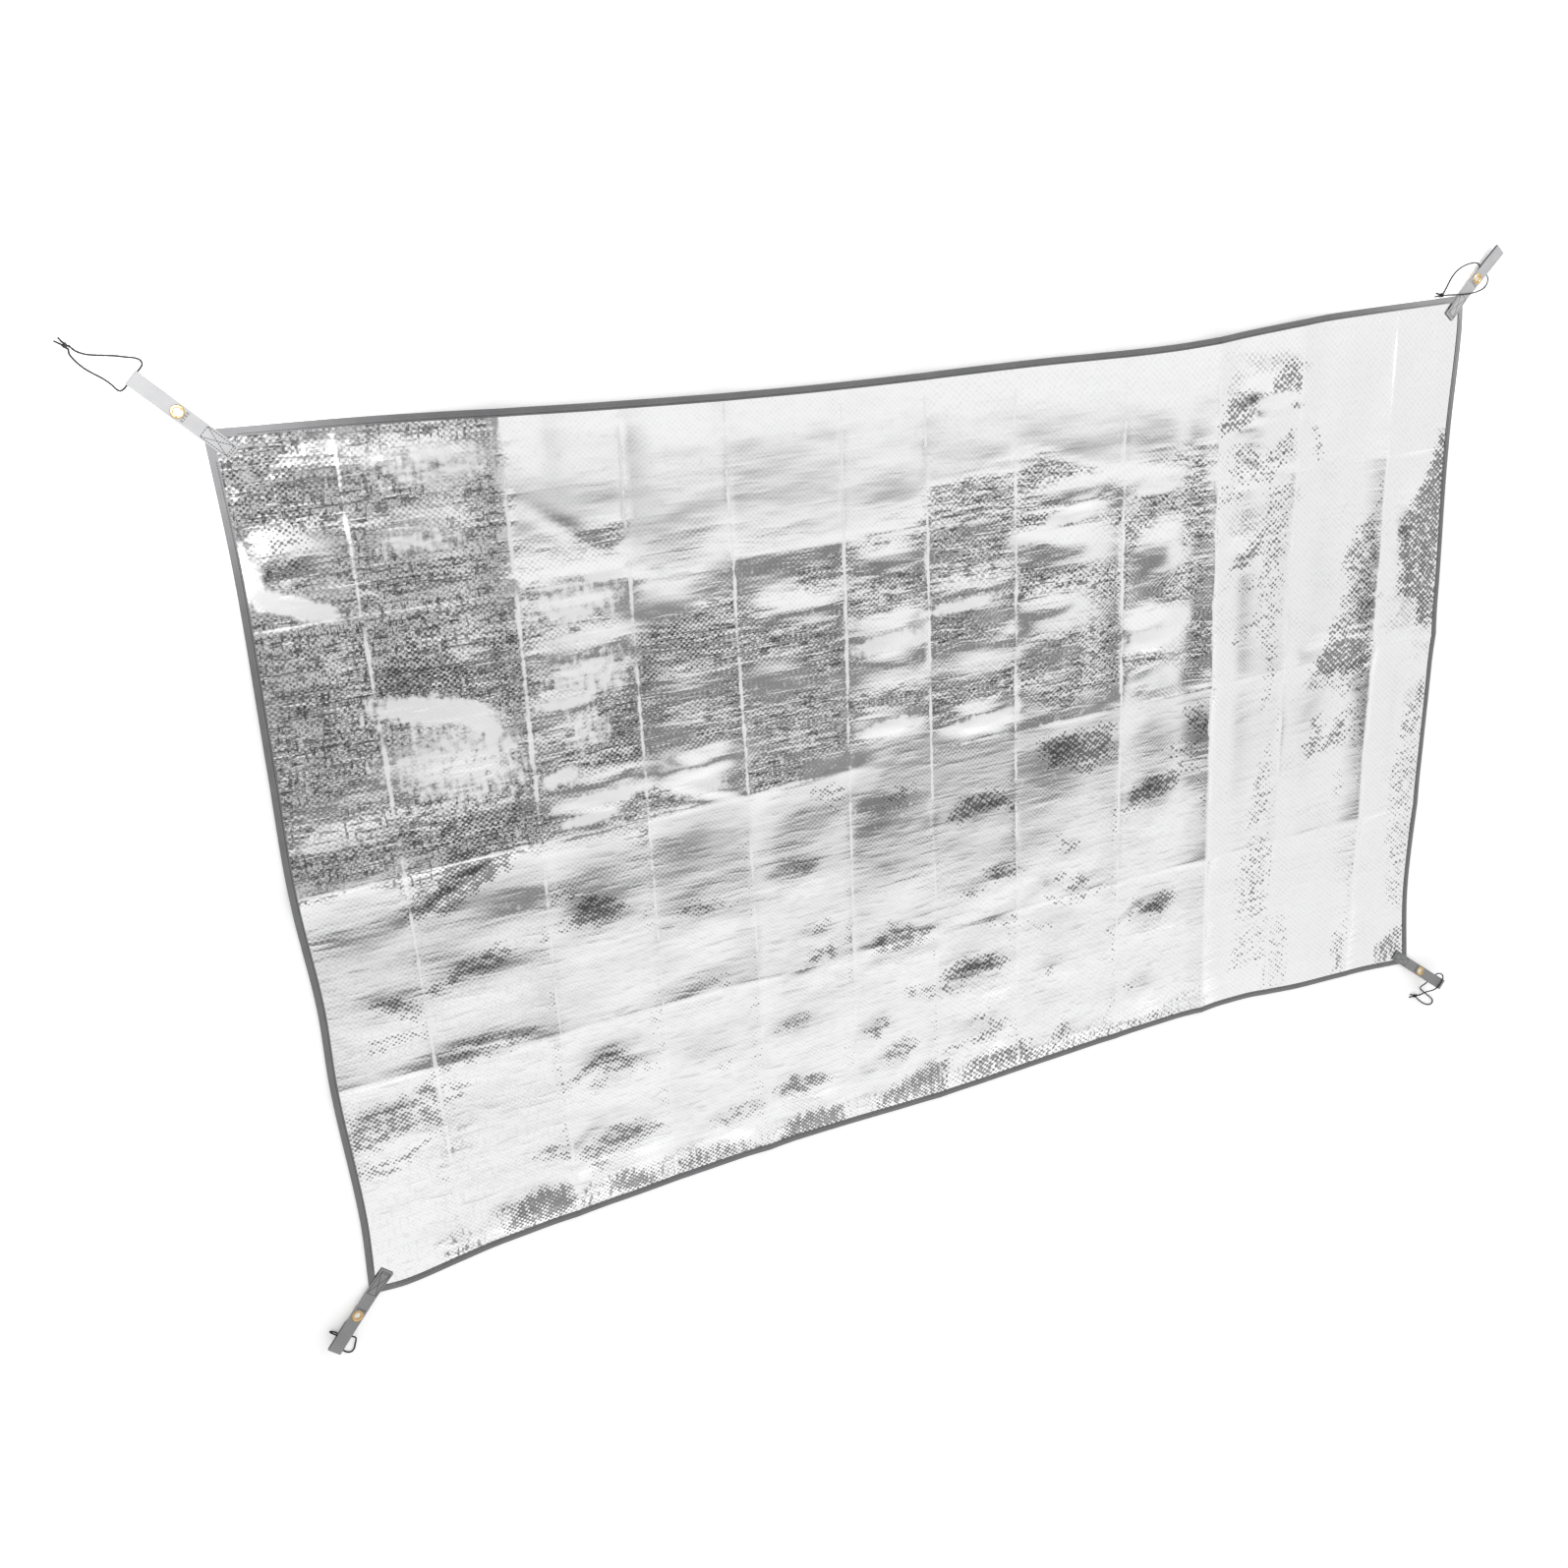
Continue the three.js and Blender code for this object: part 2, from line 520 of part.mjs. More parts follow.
// A round cord along a smooth curve through the points of its route.
function cordGeometry(points) {
  const route = new THREE.CatmullRomCurve3(points.map((point) => new THREE.Vector3(...point)));
  const section = new THREE.Shape();
  section.absarc(0, 0, CORD_DIAMETER / 2, 0, 2 * Math.PI);
  const steps = Math.round(route.getLength() / CORD_STEP);
  const curveSegments = CORD_SIDES / 2; // counted for half a circle
  const options = { extrudePath: route, steps, curveSegments, bevelEnabled: false };
  return new THREE.ExtrudeGeometry(section, options);
}

// A knot: a rounded body with the cord's turns on it, joined to the two free ends.
function knotGeometry() {
  const body = new THREE.SphereGeometry(1, KNOT_SIDES, KNOT_RINGS).rotateZ(Math.PI / 2);
  const places = body.getAttribute("position");
  const point = new THREE.Vector3();
  for (let i = 0; i < places.count; i += 1) {
    point.fromBufferAttribute(places, i);
    const around = Math.atan2(point.z, point.y);
    const waist = 1 - point.x * point.x;
    const swell = 1 + KNOT_RIDGE * waist * Math.cos(KNOT_TURNS * (around + point.x));
    const radius = (swell * KNOT_WIDTH) / 2;
    places.setXYZ(i, (point.x * KNOT_LENGTH) / 2, point.y * radius, point.z * radius);
  }
  const ends = FREE_ENDS.map((route) => solidOf(cordGeometry(route)));
  return geometryOf(ends.reduce((whole, end) => whole.add(end), solidOf(body)));
}

// Cord loop of one corner, closed by its knot.
function cordLoop({ name, knot, ends }) {
  const tied = meshOf("knot_" + name, knotGeometry(), "cord");
  tied.position.set(...knot);
  tied.rotation.z = degToRad(ends);
  const loop = new THREE.Group();
  loop.add(meshOf("cord_" + name, cordGeometry(CORD_ROUTES[name]), "cord"), tied);
  return loop;
}

const mat = new THREE.Group();
mat.add(matSheet(), ...bindings(), ...CORNERS.map(cornerStrap), ...CORNERS.map(cordLoop));

export default mat;
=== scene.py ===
"""Dresses the thermal ground mat: foil-faced sheet, bound edges, corner straps, eyelets and cord loops."""

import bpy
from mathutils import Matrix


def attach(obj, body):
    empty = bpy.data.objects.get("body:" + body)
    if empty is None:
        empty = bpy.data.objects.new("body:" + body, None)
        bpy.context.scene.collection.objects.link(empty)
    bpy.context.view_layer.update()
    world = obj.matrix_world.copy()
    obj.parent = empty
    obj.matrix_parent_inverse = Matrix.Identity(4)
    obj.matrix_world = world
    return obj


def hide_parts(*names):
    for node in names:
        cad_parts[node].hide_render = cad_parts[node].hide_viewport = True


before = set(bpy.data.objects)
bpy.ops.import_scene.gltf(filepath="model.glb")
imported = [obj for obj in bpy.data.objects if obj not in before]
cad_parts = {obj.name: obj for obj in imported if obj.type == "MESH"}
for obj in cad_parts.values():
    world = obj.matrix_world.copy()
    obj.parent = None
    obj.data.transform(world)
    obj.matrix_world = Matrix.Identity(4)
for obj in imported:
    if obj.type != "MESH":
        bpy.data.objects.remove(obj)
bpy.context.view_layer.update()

import math

import bmesh
import bpy
from bpy.props import FloatProperty, FloatVectorProperty, PointerProperty
from mathutils import Matrix, Vector, noise

bl_info = {
    "name": "Thermal Ground Mat",
    "version": (1, 0, 0),
    "blender": (4, 5, 0),
    "location": "3D View > Sidebar > Ground Mat",
    "description": "Foil-faced ground mat with bound edges, corner straps, eyelets and cord loops",
    "category": "Object",
}

MM = 0.001

# Sizes of the solids, in millimetres.
LENGTH = 2000.0
WIDTH = 1240.0
SHEET = 1.5
GAP = 0.3
TAPE = 0.8
RIM = TAPE + GAP
RIM_FLAT = 50.0
RIM_SUNK = 150.0
CORNER_FLAT = 100.0
CORNER_FULL = 230.0
MIDDLE_FLAT = 85.0
MIDDLE_FULL = 230.0
STRAP_SEWN = 44.0
STRAP_FREE = 94.0
STRAP_HEM = 8.0
WEBBING = 1.2
LAYER_PITCH = WEBBING + GAP
HEM_LEVEL = GAP + WEBBING / 2
STRAP_LEVEL = HEM_LEVEL + LAYER_PITCH
TUNNEL_RADIUS = 2.2
TUNNEL_OUT = STRAP_FREE - TUNNEL_RADIUS - WEBBING / 2
TUNNEL_SPREAD = 49.0
TUNNEL_START = 42.5
FOLD_BACK_END = 20.0
EYELET_OUT = 33.0
HOLE_RADIUS = 6.3

# Finished outline: (distance along an edge, how far it draws in).
EDGES = {
    "bottom": (
        (0, 0), (60, -3), (200, 15), (500, 29), (700, 34), (950, 30),
        (1350, 37), (1600, 34), (1720, 21), (1880, 12), (2000, 0),
    ),
    "top": (
        (0, 0), (200, 5), (500, 19), (800, 27), (1150, 26), (1420, 27),
        (1600, 15), (1720, 7), (2000, 0),
    ),
    "left": ((0, 0), (130, 6), (340, 0), (470, 3), (640, -5), (820, -1), (1060, 4), (1240, 0)),
    "right": ((0, 0), (160, 14), (340, 8), (700, -1), (990, 4), (1180, -4), (1240, 0)),
}

# Packing folds: place at both ends, height at the first end, the middle and the second end, crisp line.
FOLDS = (
    (-855, -854, 3, 1, 2, 0.7),
    (-680, -647, 3, 6, 5, -0.8),
    (-518, -488, 0, 1, 0, 0.6),
    (-359, -339, 4, 5, 3, -0.9),
    (-198, -161, 1, 0, 0, 0.7),
    (-43, -30, 3, 2, 3, -0.7),
    (110, 122, 1, 3, 1, 0.6),
    (311, 320, 2, 4, 2, -0.8),
    (500, 494, 5, 7, 6, 0.45),
    (647, 665, 2, 1, 4, -0.4),
    (842, 860, 3, 5, 2, 0.4),
)
LONG_FOLDS = (
    (-284, -284, 2, 0.5, 1.5, 0.2),
    (11, 40, 4, 1.5, 3, 0.3),
    (371, 371, 1, 2, 0.5, -0.2),
)
FOLD_REACH = 62.0
CRISP_REACH = 6.0

# Crown of each panel between the folds, a row for each band from the bottom edge up.
CROWNS = (
    (2.0, 3.5, 4.5, 2.5, 4.0, 3.0, 4.5, 3.5, 2.5, 1.5, 2.0, 1.0),
    (3.0, 2.5, 5.0, 4.0, 3.0, 5.0, 2.5, 4.5, 3.5, 2.0, 1.5, 2.5),
    (4.5, 6.0, 3.0, 4.5, 2.0, 4.0, 3.5, 5.5, 3.0, 2.5, 1.0, 3.0),
    (2.5, 3.0, 2.0, 3.5, 1.5, 2.5, 3.0, 2.0, 3.5, 4.0, 1.5, 1.0),
)
CROWN_AT_FOLD = 0.35

# Small puffs in the sheet, placed one by one: (x, y, half length, half width, height).
PUFFS = (
    (-600, -135, 70, 44, 3.6), (-785, -170, 75, 38, 3.4), (-905, -195, 48, 34, 2.8),
    (-945, -365, 60, 44, 3.4), (-780, -290, 90, 30, 2.4), (-600, -372, 80, 40, 3.4),
    (-605, -505, 72, 42, 3.8), (-745, -575, 62, 46, 4.0), (-610, -560, 48, 34, 2.8),
    (-295, -505, 58, 38, 3.8), (-292, -566, 66, 36, 3.6), (-298, -392, 40, 26, 2.2),
    (-410, -522, 50, 26, 2.4), (-440, -168, 52, 36, 2.8), (-430, -285, 56, 34, 2.4),
    (-278, -130, 44, 30, 2.4), (-250, -240, 32, 24, 2.2), (-246, -284, 34, 24, 2.2),
    (-105, -302, 66, 46, 4.2), (-102, -75, 58, 40, 2.8), (-152, -442, 34, 28, 2.6),
    (-130, -500, 44, 34, 3.2), (-100, -570, 80, 42, 3.8), (52, -110, 52, 38, 3.0), (88, -228, 46, 28, 2.8),
    (18, -250, 38, 28, 2.2), (228, -212, 36, 28, 2.4), (245, -282, 42, 24, 2.4), (180, -262, 34, 24, 1.8),
    (398, -160, 68, 44, 3.4), (392, -372, 54, 40, 3.8), (42, -396, 70, 36, 3.6), (45, -502, 52, 36, 3.2),
    (215, -570, 62, 44, 3.8), (110, -572, 54, 38, 3.0), (30, -575, 42, 36, 2.8), (370, -506, 36, 26, 2.2),
    (190, -412, 36, 24, 1.8), (-455, -395, 44, 26, 1.8), (-700, -90, 60, 34, 2.0),
    (-540, -225, 56, 30, 1.6), (-580, 372, 84, 42, 3.2), (-572, 276, 78, 40, 3.2), (-612, 196, 46, 42, 2.8),
    (-765, 300, 70, 40, 1.6), (-765, 182, 84, 46, 3.2), (-570, 84, 66, 32, 3.0), (-418, 82, 72, 42, 3.6),
    (-240, 282, 58, 36, 2.8), (-105, 232, 60, 38, 3.6), (-100, 172, 66, 44, 2.6), (-110, 90, 54, 30, 2.8),
    (-95, 338, 58, 32, 2.4), (52, 72, 56, 34, 3.2), (60, 172, 70, 34, 2.0), (48, 270, 68, 26, 2.0),
    (215, 312, 88, 46, 4.0), (180, 212, 56, 50, 3.8), (240, 398, 66, 30, 2.6), (372, 160, 60, 40, 3.8),
    (388, 282, 40, 62, 3.2), (375, 396, 52, 28, 2.2), (362, 76, 50, 28, 2.2), (600, 508, 58, 38, 3.8),
    (585, 452, 74, 36, 3.2), (570, 352, 58, 46, 3.0), (560, 244, 46, 42, 2.6), (770, 52, 66, 40, 2.0),
    (760, -70, 56, 48, 2.2), (945, 250, 46, 90, 2.4), (-950, 462, 60, 48, 3.4), (-930, 300, 50, 60, 2.2),
    (-900, 560, 70, 34, 2.0), (-780, 470, 84, 36, 2.2), (-780, 560, 80, 30, 1.8), (-900, 120, 70, 34, 2.0),
    (-450, 330, 60, 40, 2.0), (-290, 180, 50, 60, 1.6), (-420, 190, 52, 44, 1.8), (720, 420, 40, 60, 1.2),
    (-962, 444, 42, 38, 2.6), (-900, 400, 48, 24, 1.9), (-108, 212, 50, 25, 2.0), (-112, 78, 46, 19, 1.5),
    (55, 58, 50, 21, 1.7), (372, 138, 50, 33, 2.6), (222, 358, 46, 21, 1.9), (150, 334, 42, 17, 1.3),
    (378, 380, 42, 15, 1.3), (20, 247, 70, 12, 0.9), (-425, 80, 42, 23, 1.9), (-395, 44, 38, 21, 1.6),
    (-580, 64, 56, 17, 1.3), (612, 488, 44, 25, 2.2), (-540, 382, 38, 14, 1.1),
)

# Short soft creases, placed one by one: (start x, start y, end x, end y, height, half width).
SHORT_CREASES = (
    (-560, 432, -650, 372, 1.1, 12), (-625, 482, -485, 372, -1.4, 22), (-862, -58, -695, 22, 1.6, 14),
    (-1000, 86, -905, 116, 1.0, 12), (-700, 205, -655, 262, 1.0, 12), (-672, -482, -615, -442, 1.2, 11),
    (-615, -442, -560, -448, 0.9, 10), (-662, -380, -605, -340, 1.0, 11), (300, -372, 372, -328, 1.2, 12),
    (58, 84, 132, 112, 1.1, 12), (-932, -158, -862, -202, 1.0, 12), (-892, -308, -848, -352, 1.1, 12),
    (128, -214, 205, -292, 0.9, 11), (178, 342, 302, 382, 1.2, 12), (150, 200, 172, 60, 1.0, 14),
    (205, 190, 232, 20, -1.0, 16), (520, 420, 640, 372, 1.0, 12), (525, 470, 655, 545, -1.2, 20),
    (-480, 66, -362, 26, 2.2, 15), (-460, -420, -380, -410, 0.7, 9), (-950, -500, -840, -470, 0.7, 10),
    (60, -292, 130, -305, 0.8, 9), (-860, -255, -700, -275, 0.8, 9), (860, 362, 940, 368, 0.5, 8),
    (700, 200, 775, 238, 0.5, 9), (-988, 430, -935, 400, 2.4, 16), (-150, 202, -62, 196, 1.9, 14),
    (20, 50, 92, 42, 1.9, 13), (332, 130, 420, 120, 2.2, 15), (565, 482, 640, 470, 2.2, 15),
    (130, 332, 200, 318, 1.7, 12), (205, 364, 290, 350, 1.6, 11), (-602, 58, -540, 48, 1.6, 11),
)

# Places given a painted highlight, drawn one by one: the foil's base colour goes to near white there and the
# foil gets rougher. Each row: (x, y, half length, half width, turn in degrees, strength).
PAINTED_HIGHLIGHTS = (
    (-982, 440, 36, 14, -72, 1.0), (-932, 396, 52, 12, -22, 1.0), (-782, 232, 70, 15, -12, 1.0),
    (-722, 205, 32, 11, -48, 1.0), (-622, 106, 26, 8, 8, 1.0), (-565, 64, 62, 8, 2, 1.0),
    (-428, 58, 36, 18, -12, 1.0), (-588, 38, 34, 8, 6, 0.9), (-560, 298, 52, 7, 0, 0.9),
    (-532, 376, 30, 7, 0, 0.9), (-605, 210, 38, 7, 0, 0.8), (-757, 155, 88, 50, -8, 0.5),
    (-740, 548, 80, 24, 0, 0.42), (-770, 455, 66, 17, -4, 0.4), (-580, 343, 64, 26, 0, 0.5),
    (-565, 243, 54, 28, 0, 0.5), (-580, 165, 30, 28, 0, 0.42), (-108, 212, 48, 11, 4, 1.0),
    (-112, 78, 42, 10, 4, 1.0), (55, 58, 46, 9, 3, 1.0), (372, 138, 44, 14, 0, 1.0),
    (222, 358, 42, 9, 6, 1.0), (150, 334, 38, 8, 6, 1.0), (378, 380, 38, 8, 0, 1.0),
    (20, 247, 64, 7, 3, 0.9), (612, 488, 40, 11, 5, 1.0),
)

# Regions where the foil is more rumpled: (left, right, low, high, lean of the left side, soft border,
# strength).
RUMPLED = (
    (-1010, -650, -10, 630, 0, 30, 0.95),
    (-660, -500, -10, 440, 0, 40, 0.9),
    (-510, -180, 25, 340, 0, 50, 0.85),
    (-190, -36, 40, 370, 0, 50, 0.85),
    (-46, 495, 50, 430, 0, 60, 0.9),
    (515, 670, 200, 560, 0, 40, 0.7),
    (690, 852, -20, 262, 0.55, 30, 0.85),
    (880, 1010, 60, 400, 0.25, 30, 0.9),
    (945, 1010, -600, 60, 0, 30, 0.6),
    (-880, 500, -640, -540, 0, 30, 0.8),
    (-1010, -820, -440, -270, 0, 40, 0.5),
)

# Painted shade, drawn one by one: places where the foil's base colour is darkened as if the foil turned away
# from the light. Each row: strength, then the outline's x and y in turn.
PAINTED_SHADE_OUTLINES = (
    (0.75, 500, 450, 512, 495, 545, 508, 590, 500, 600, 520, 640, 548, 664, 540, 660, 470, 645, 475, 620,
     490, 590, 486, 560, 465, 545, 450),
    (0.5, 515, 430, 530, 370, 600, 360, 650, 395, 655, 445, 620, 420, 590, 400, 560, 425),
    (0.42, 600, 350, 650, 350, 640, 150, 632, 0, 630, -30, 615, -30, 615, 50, 600, 100, 590, 200, 598, 300),
    (0.8, 535, 222, 560, 225, 600, 262, 605, 285, 570, 262, 540, 240),
    (0.6, 545, 95, 600, 138, 602, 150, 560, 122, 540, 106),
    (0.5, 545, 195, 600, 207, 600, 190, 550, 183),
    (0.4, 500, 365, 560, 358, 550, 335, 500, 330),
    (0.62, 848, 340, 838, 280, 800, 255, 775, 205, 795, 160, 765, 125, 790, 120, 750, 85, 745, 60, 708, 18,
     800, -2, 842, -2, 843, 100, 845, 200),
    (0.9, 745, 62, 800, 70, 842, 60, 842, 0, 800, 0, 712, 17),
    (0.88, 975, 395, 990, 395, 990, 62, 950, 60, 952, 100, 905, 130, 895, 250, 930, 300, 955, 340),
    (0.6, 700, 440, 712, 400, 717, 383, 702, 392, 697, 410),
    (0.36, 708, 0, 800, -45, 842, -45, 842, 0),
    (0.7, 728, -70, 745, -65, 745, -130, 712, -140, 712, -110, 728, -100),
    (0.7, 773, -75, 800, -78, 802, -125, 745, -132, 748, -112, 773, -100),
    (0.45, 800, -50, 842, -55, 842, -130, 815, -135, 802, -100),
    (0.45, 780, -183, 800, -178, 802, -232, 788, -228),
    (0.42, 635, -80, 638, -150, 638, -245, 583, -247, 600, -200, 604, -150),
    (0.4, 600, -262, 638, -262, 638, -425, 568, -425, 575, -300),
    (0.3, 570, -450, 640, -440, 642, -525, 556, -522),
    (0.5, 982, -40, 985, -60, 980, -150, 935, -146, 935, -110, 955, -70),
    (0.4, 980, -150, 975, -300, 918, -292, 924, -170),
    (0.34, 972, -300, 970, -500, 935, -480, 915, -310),
    (0.68, 905, -600, 915, -570, 945, -540, 982, -528, 982, -600),
    (0.5, 805, -505, 830, -505, 834, -592, 808, -592),
    (0.3, 650, -430, 695, -440, 695, -580, 650, -580),
    (0.9, -857, -57, -810, -15, -800, 26, -690, 26, -720, -15, -760, -30, -790, -50),
    (0.62, -848, 296, -800, 342, -770, 352, -742, 320, -735, 285, -712, 250, -694, 205, -722, 222, -752,
     256, -846, 258),
    (0.5, -798, 95, -740, 108, -690, 85, -700, 40, -740, 0, -800, 8, -805, 50),
    (0.42, -985, 580, -930, 585, -900, 560, -900, 440, -940, 430, -965, 480, -980, 520),
    (0.42, -945, 360, -905, 365, -895, 280, -905, 255, -950, 255, -955, 310),
    (0.45, -700, 330, -660, 350, -655, 230, -690, 225),
    (0.5, -545, 150, -505, 175, -505, 100, -560, 108),
    (0.42, -490, 290, -365, 300, -360, 230, -490, 215),
    (0.6, -660, -65, -640, -57, -625, -64, -618, -80, -645, -80),
    (0.95, -656, -116, -625, -100, -605, -78, -588, -82, -555, -104, -548, -116, -600, -124),
    (0.85, -857, -171, -830, -155, -790, -130, -735, -124, -728, -146, -790, -156, -830, -169),
    (0.75, -932, -170, -905, -159, -885, -167, -865, -185, -862, -202, -900, -186),
    (0.6, -940, -222, -870, -220, -865, -232, -935, -237),
    (0.5, -856, -268, -790, -252, -700, -268, -700, -281, -780, -291, -856, -291),
    (0.66, -985, -325, -900, -317, -880, -325, -850, -365, -860, -386, -890, -370, -950, -386, -990, -392),
    (0.6, -990, -402, -988, -432, -950, -437, -900, -411, -868, -389, -940, -412),
    (0.8, -887, -309, -855, -304, -852, -348),
    (0.5, -850, -309, -803, -332, -850, -347),
    (0.62, -682, -382, -645, -345, -600, -326, -575, -345, -545, -370, -523, -382, -570, -377, -600, -366,
     -640, -362),
    (0.95, -602, -328, -574, -345, -582, -358, -604, -352),
    (0.6, -648, -382, -610, -371, -608, -387, -640, -388),
    (0.7, -737, -479, -705, -464, -680, -469, -680, -497, -700, -482),
    (0.78, -672, -497, -650, -479, -600, -460, -560, -469, -528, -479, -570, -497, -640, -502),
    (0.6, -652, -510, -620, -507, -630, -532, -645, -532),
    (1.0, -792, -583, -772, -545, -740, -529, -700, -534, -678, -562, -700, -583),
    (0.85, -632, -556, -600, -539, -583, -550, -546, -562, -546, -580, -590, -582, -612, -572),
    (0.75, -522, -578, -490, -549, -430, -549, -390, -560, -380, -576),
    (0.92, -342, -486, -310, -469, -270, -474, -243, -491, -300, -498),
    (1.0, -337, -578, -322, -545, -290, -539, -220, -546, -222, -576),
    (0.6, -482, -143, -450, -129, -400, -137, -373, -146, -430, -150),
    (0.75, -312, -111, -260, -104, -240, -112, -280, -118),
    (0.55, -447, -498, -380, -488, -373, -500, -374, -510, -420, -517, -452, -513),
    (0.6, -337, -379, -280, -361, -273, -368, -310, -382),
    (0.5, -442, -413, -400, -408, -420, -420),
    (0.4, -452, -253, -400, -258, -398, -277, -452, -277),
    (0.6, -132, -47, -100, -19, -58, -24, -58, -41, -100, -50),
    (0.88, -8, -97, 15, -69, 55, -61, 95, -77, 117, -96, 60, -93, 20, -102),
    (0.88, 47, -200, 90, -199, 128, -208, 110, -220, 70, -217),
    (0.5, -3, -237, 20, -219, 62, -224, 50, -237),
    (0.72, 194, -168, 207, -184, 243, -195, 210, -200, 197, -191),
    (0.85, 322, -147, 350, -119, 380, -103, 445, -104, 438, -126, 400, -140, 345, -152),
    (0.4, 395, -60, 485, -45, 485, -135, 440, -103),
    (0.75, 188, -246, 205, -234, 212, -249, 198, -254),
    (0.8, 210, -266, 240, -254, 254, -265, 225, -274),
    (0.6, 162, -271, 200, -284, 284, -281, 230, -294, 190, -290),
    (0.5, 48, -289, 80, -294, 130, -311, 182, -331, 120, -313, 70, -302),
    (0.88, 347, -324, 380, -338, 430, -318, 438, -335, 405, -360, 370, -352),
    (0.5, 288, -371, 346, -343, 343, -353, 300, -375),
    (0.86, -37, -372, 5, -344, 50, -349, 93, -362, 76, -380, 20, -370, -20, -378),
    (0.6, -102, -368, -50, -379, 20, -386, 12, -402, -50, -397, -92, -387),
    (0.8, -172, -431, -140, -410, -133, -426, -155, -440),
    (0.7, -147, -471, -100, -458, -78, -472, -98, -492, -152, -492),
    (0.62, -42, -502, 20, -494, 60, -474, 88, -480, 72, -502, 0, -508),
    (0.7, 18, -463, 50, -454, 48, -467),
    (0.85, -165, -578, -142, -545, -90, -524, -28, -518, -26, -578),
    (0.75, -2, -578, 18, -535, 140, -529, 152, -578),
    (0.8, 178, -547, 200, -513, 218, -547),
    (0.46, 150, -558, 282, -558, 274, -578, 150, -578),
    (0.8, -264, -220, -235, -214, -236, -230),
    (0.7, -268, -264, -225, -257, -222, -277, -262, -280),
    (0.78, -153, -292, -152, -265, -120, -249, -85, -263, -48, -275, -58, -290, -110, -295),
    (0.6, 333, -486, 360, -477, 373, -490, 345, -494),
    (0.5, 162, -413, 203, -393, 182, -414),
    (0.6, 340, -561, 390, -554, 434, -566, 350, -572),
    (0.8, 148, 4, 180, -50, 205, -50, 250, -70, 302, -46, 302, 4),
    (0.6, -245, 4, -200, -46, -194, 4),
    (0.7, 450, 4, 488, 4, 488, -52, 455, -40),
)

# Corners: plan side, strap heading and pitch in degrees, knot and heading of its free ends.
CORNERS = {
    "back_left": {"x": -1, "y": 1, "heading": 134.5, "pitch": 1, "knot": (-1126, 727, 3.5), "ends": 139.5},
    "back_right": {"x": 1, "y": 1, "heading": 48, "pitch": 7, "knot": (951, 623.8, 3.5), "ends": 176},
    "front_right": {"x": 1, "y": -1, "heading": -38.5, "pitch": 16, "knot": (1029, -700.3, 3.5), "ends": 172},
    "front_left": {"x": -1, "y": -1, "heading": 225.9, "pitch": 8, "knot": (-1049, -672.5, 3.5), "ends": 12},
}

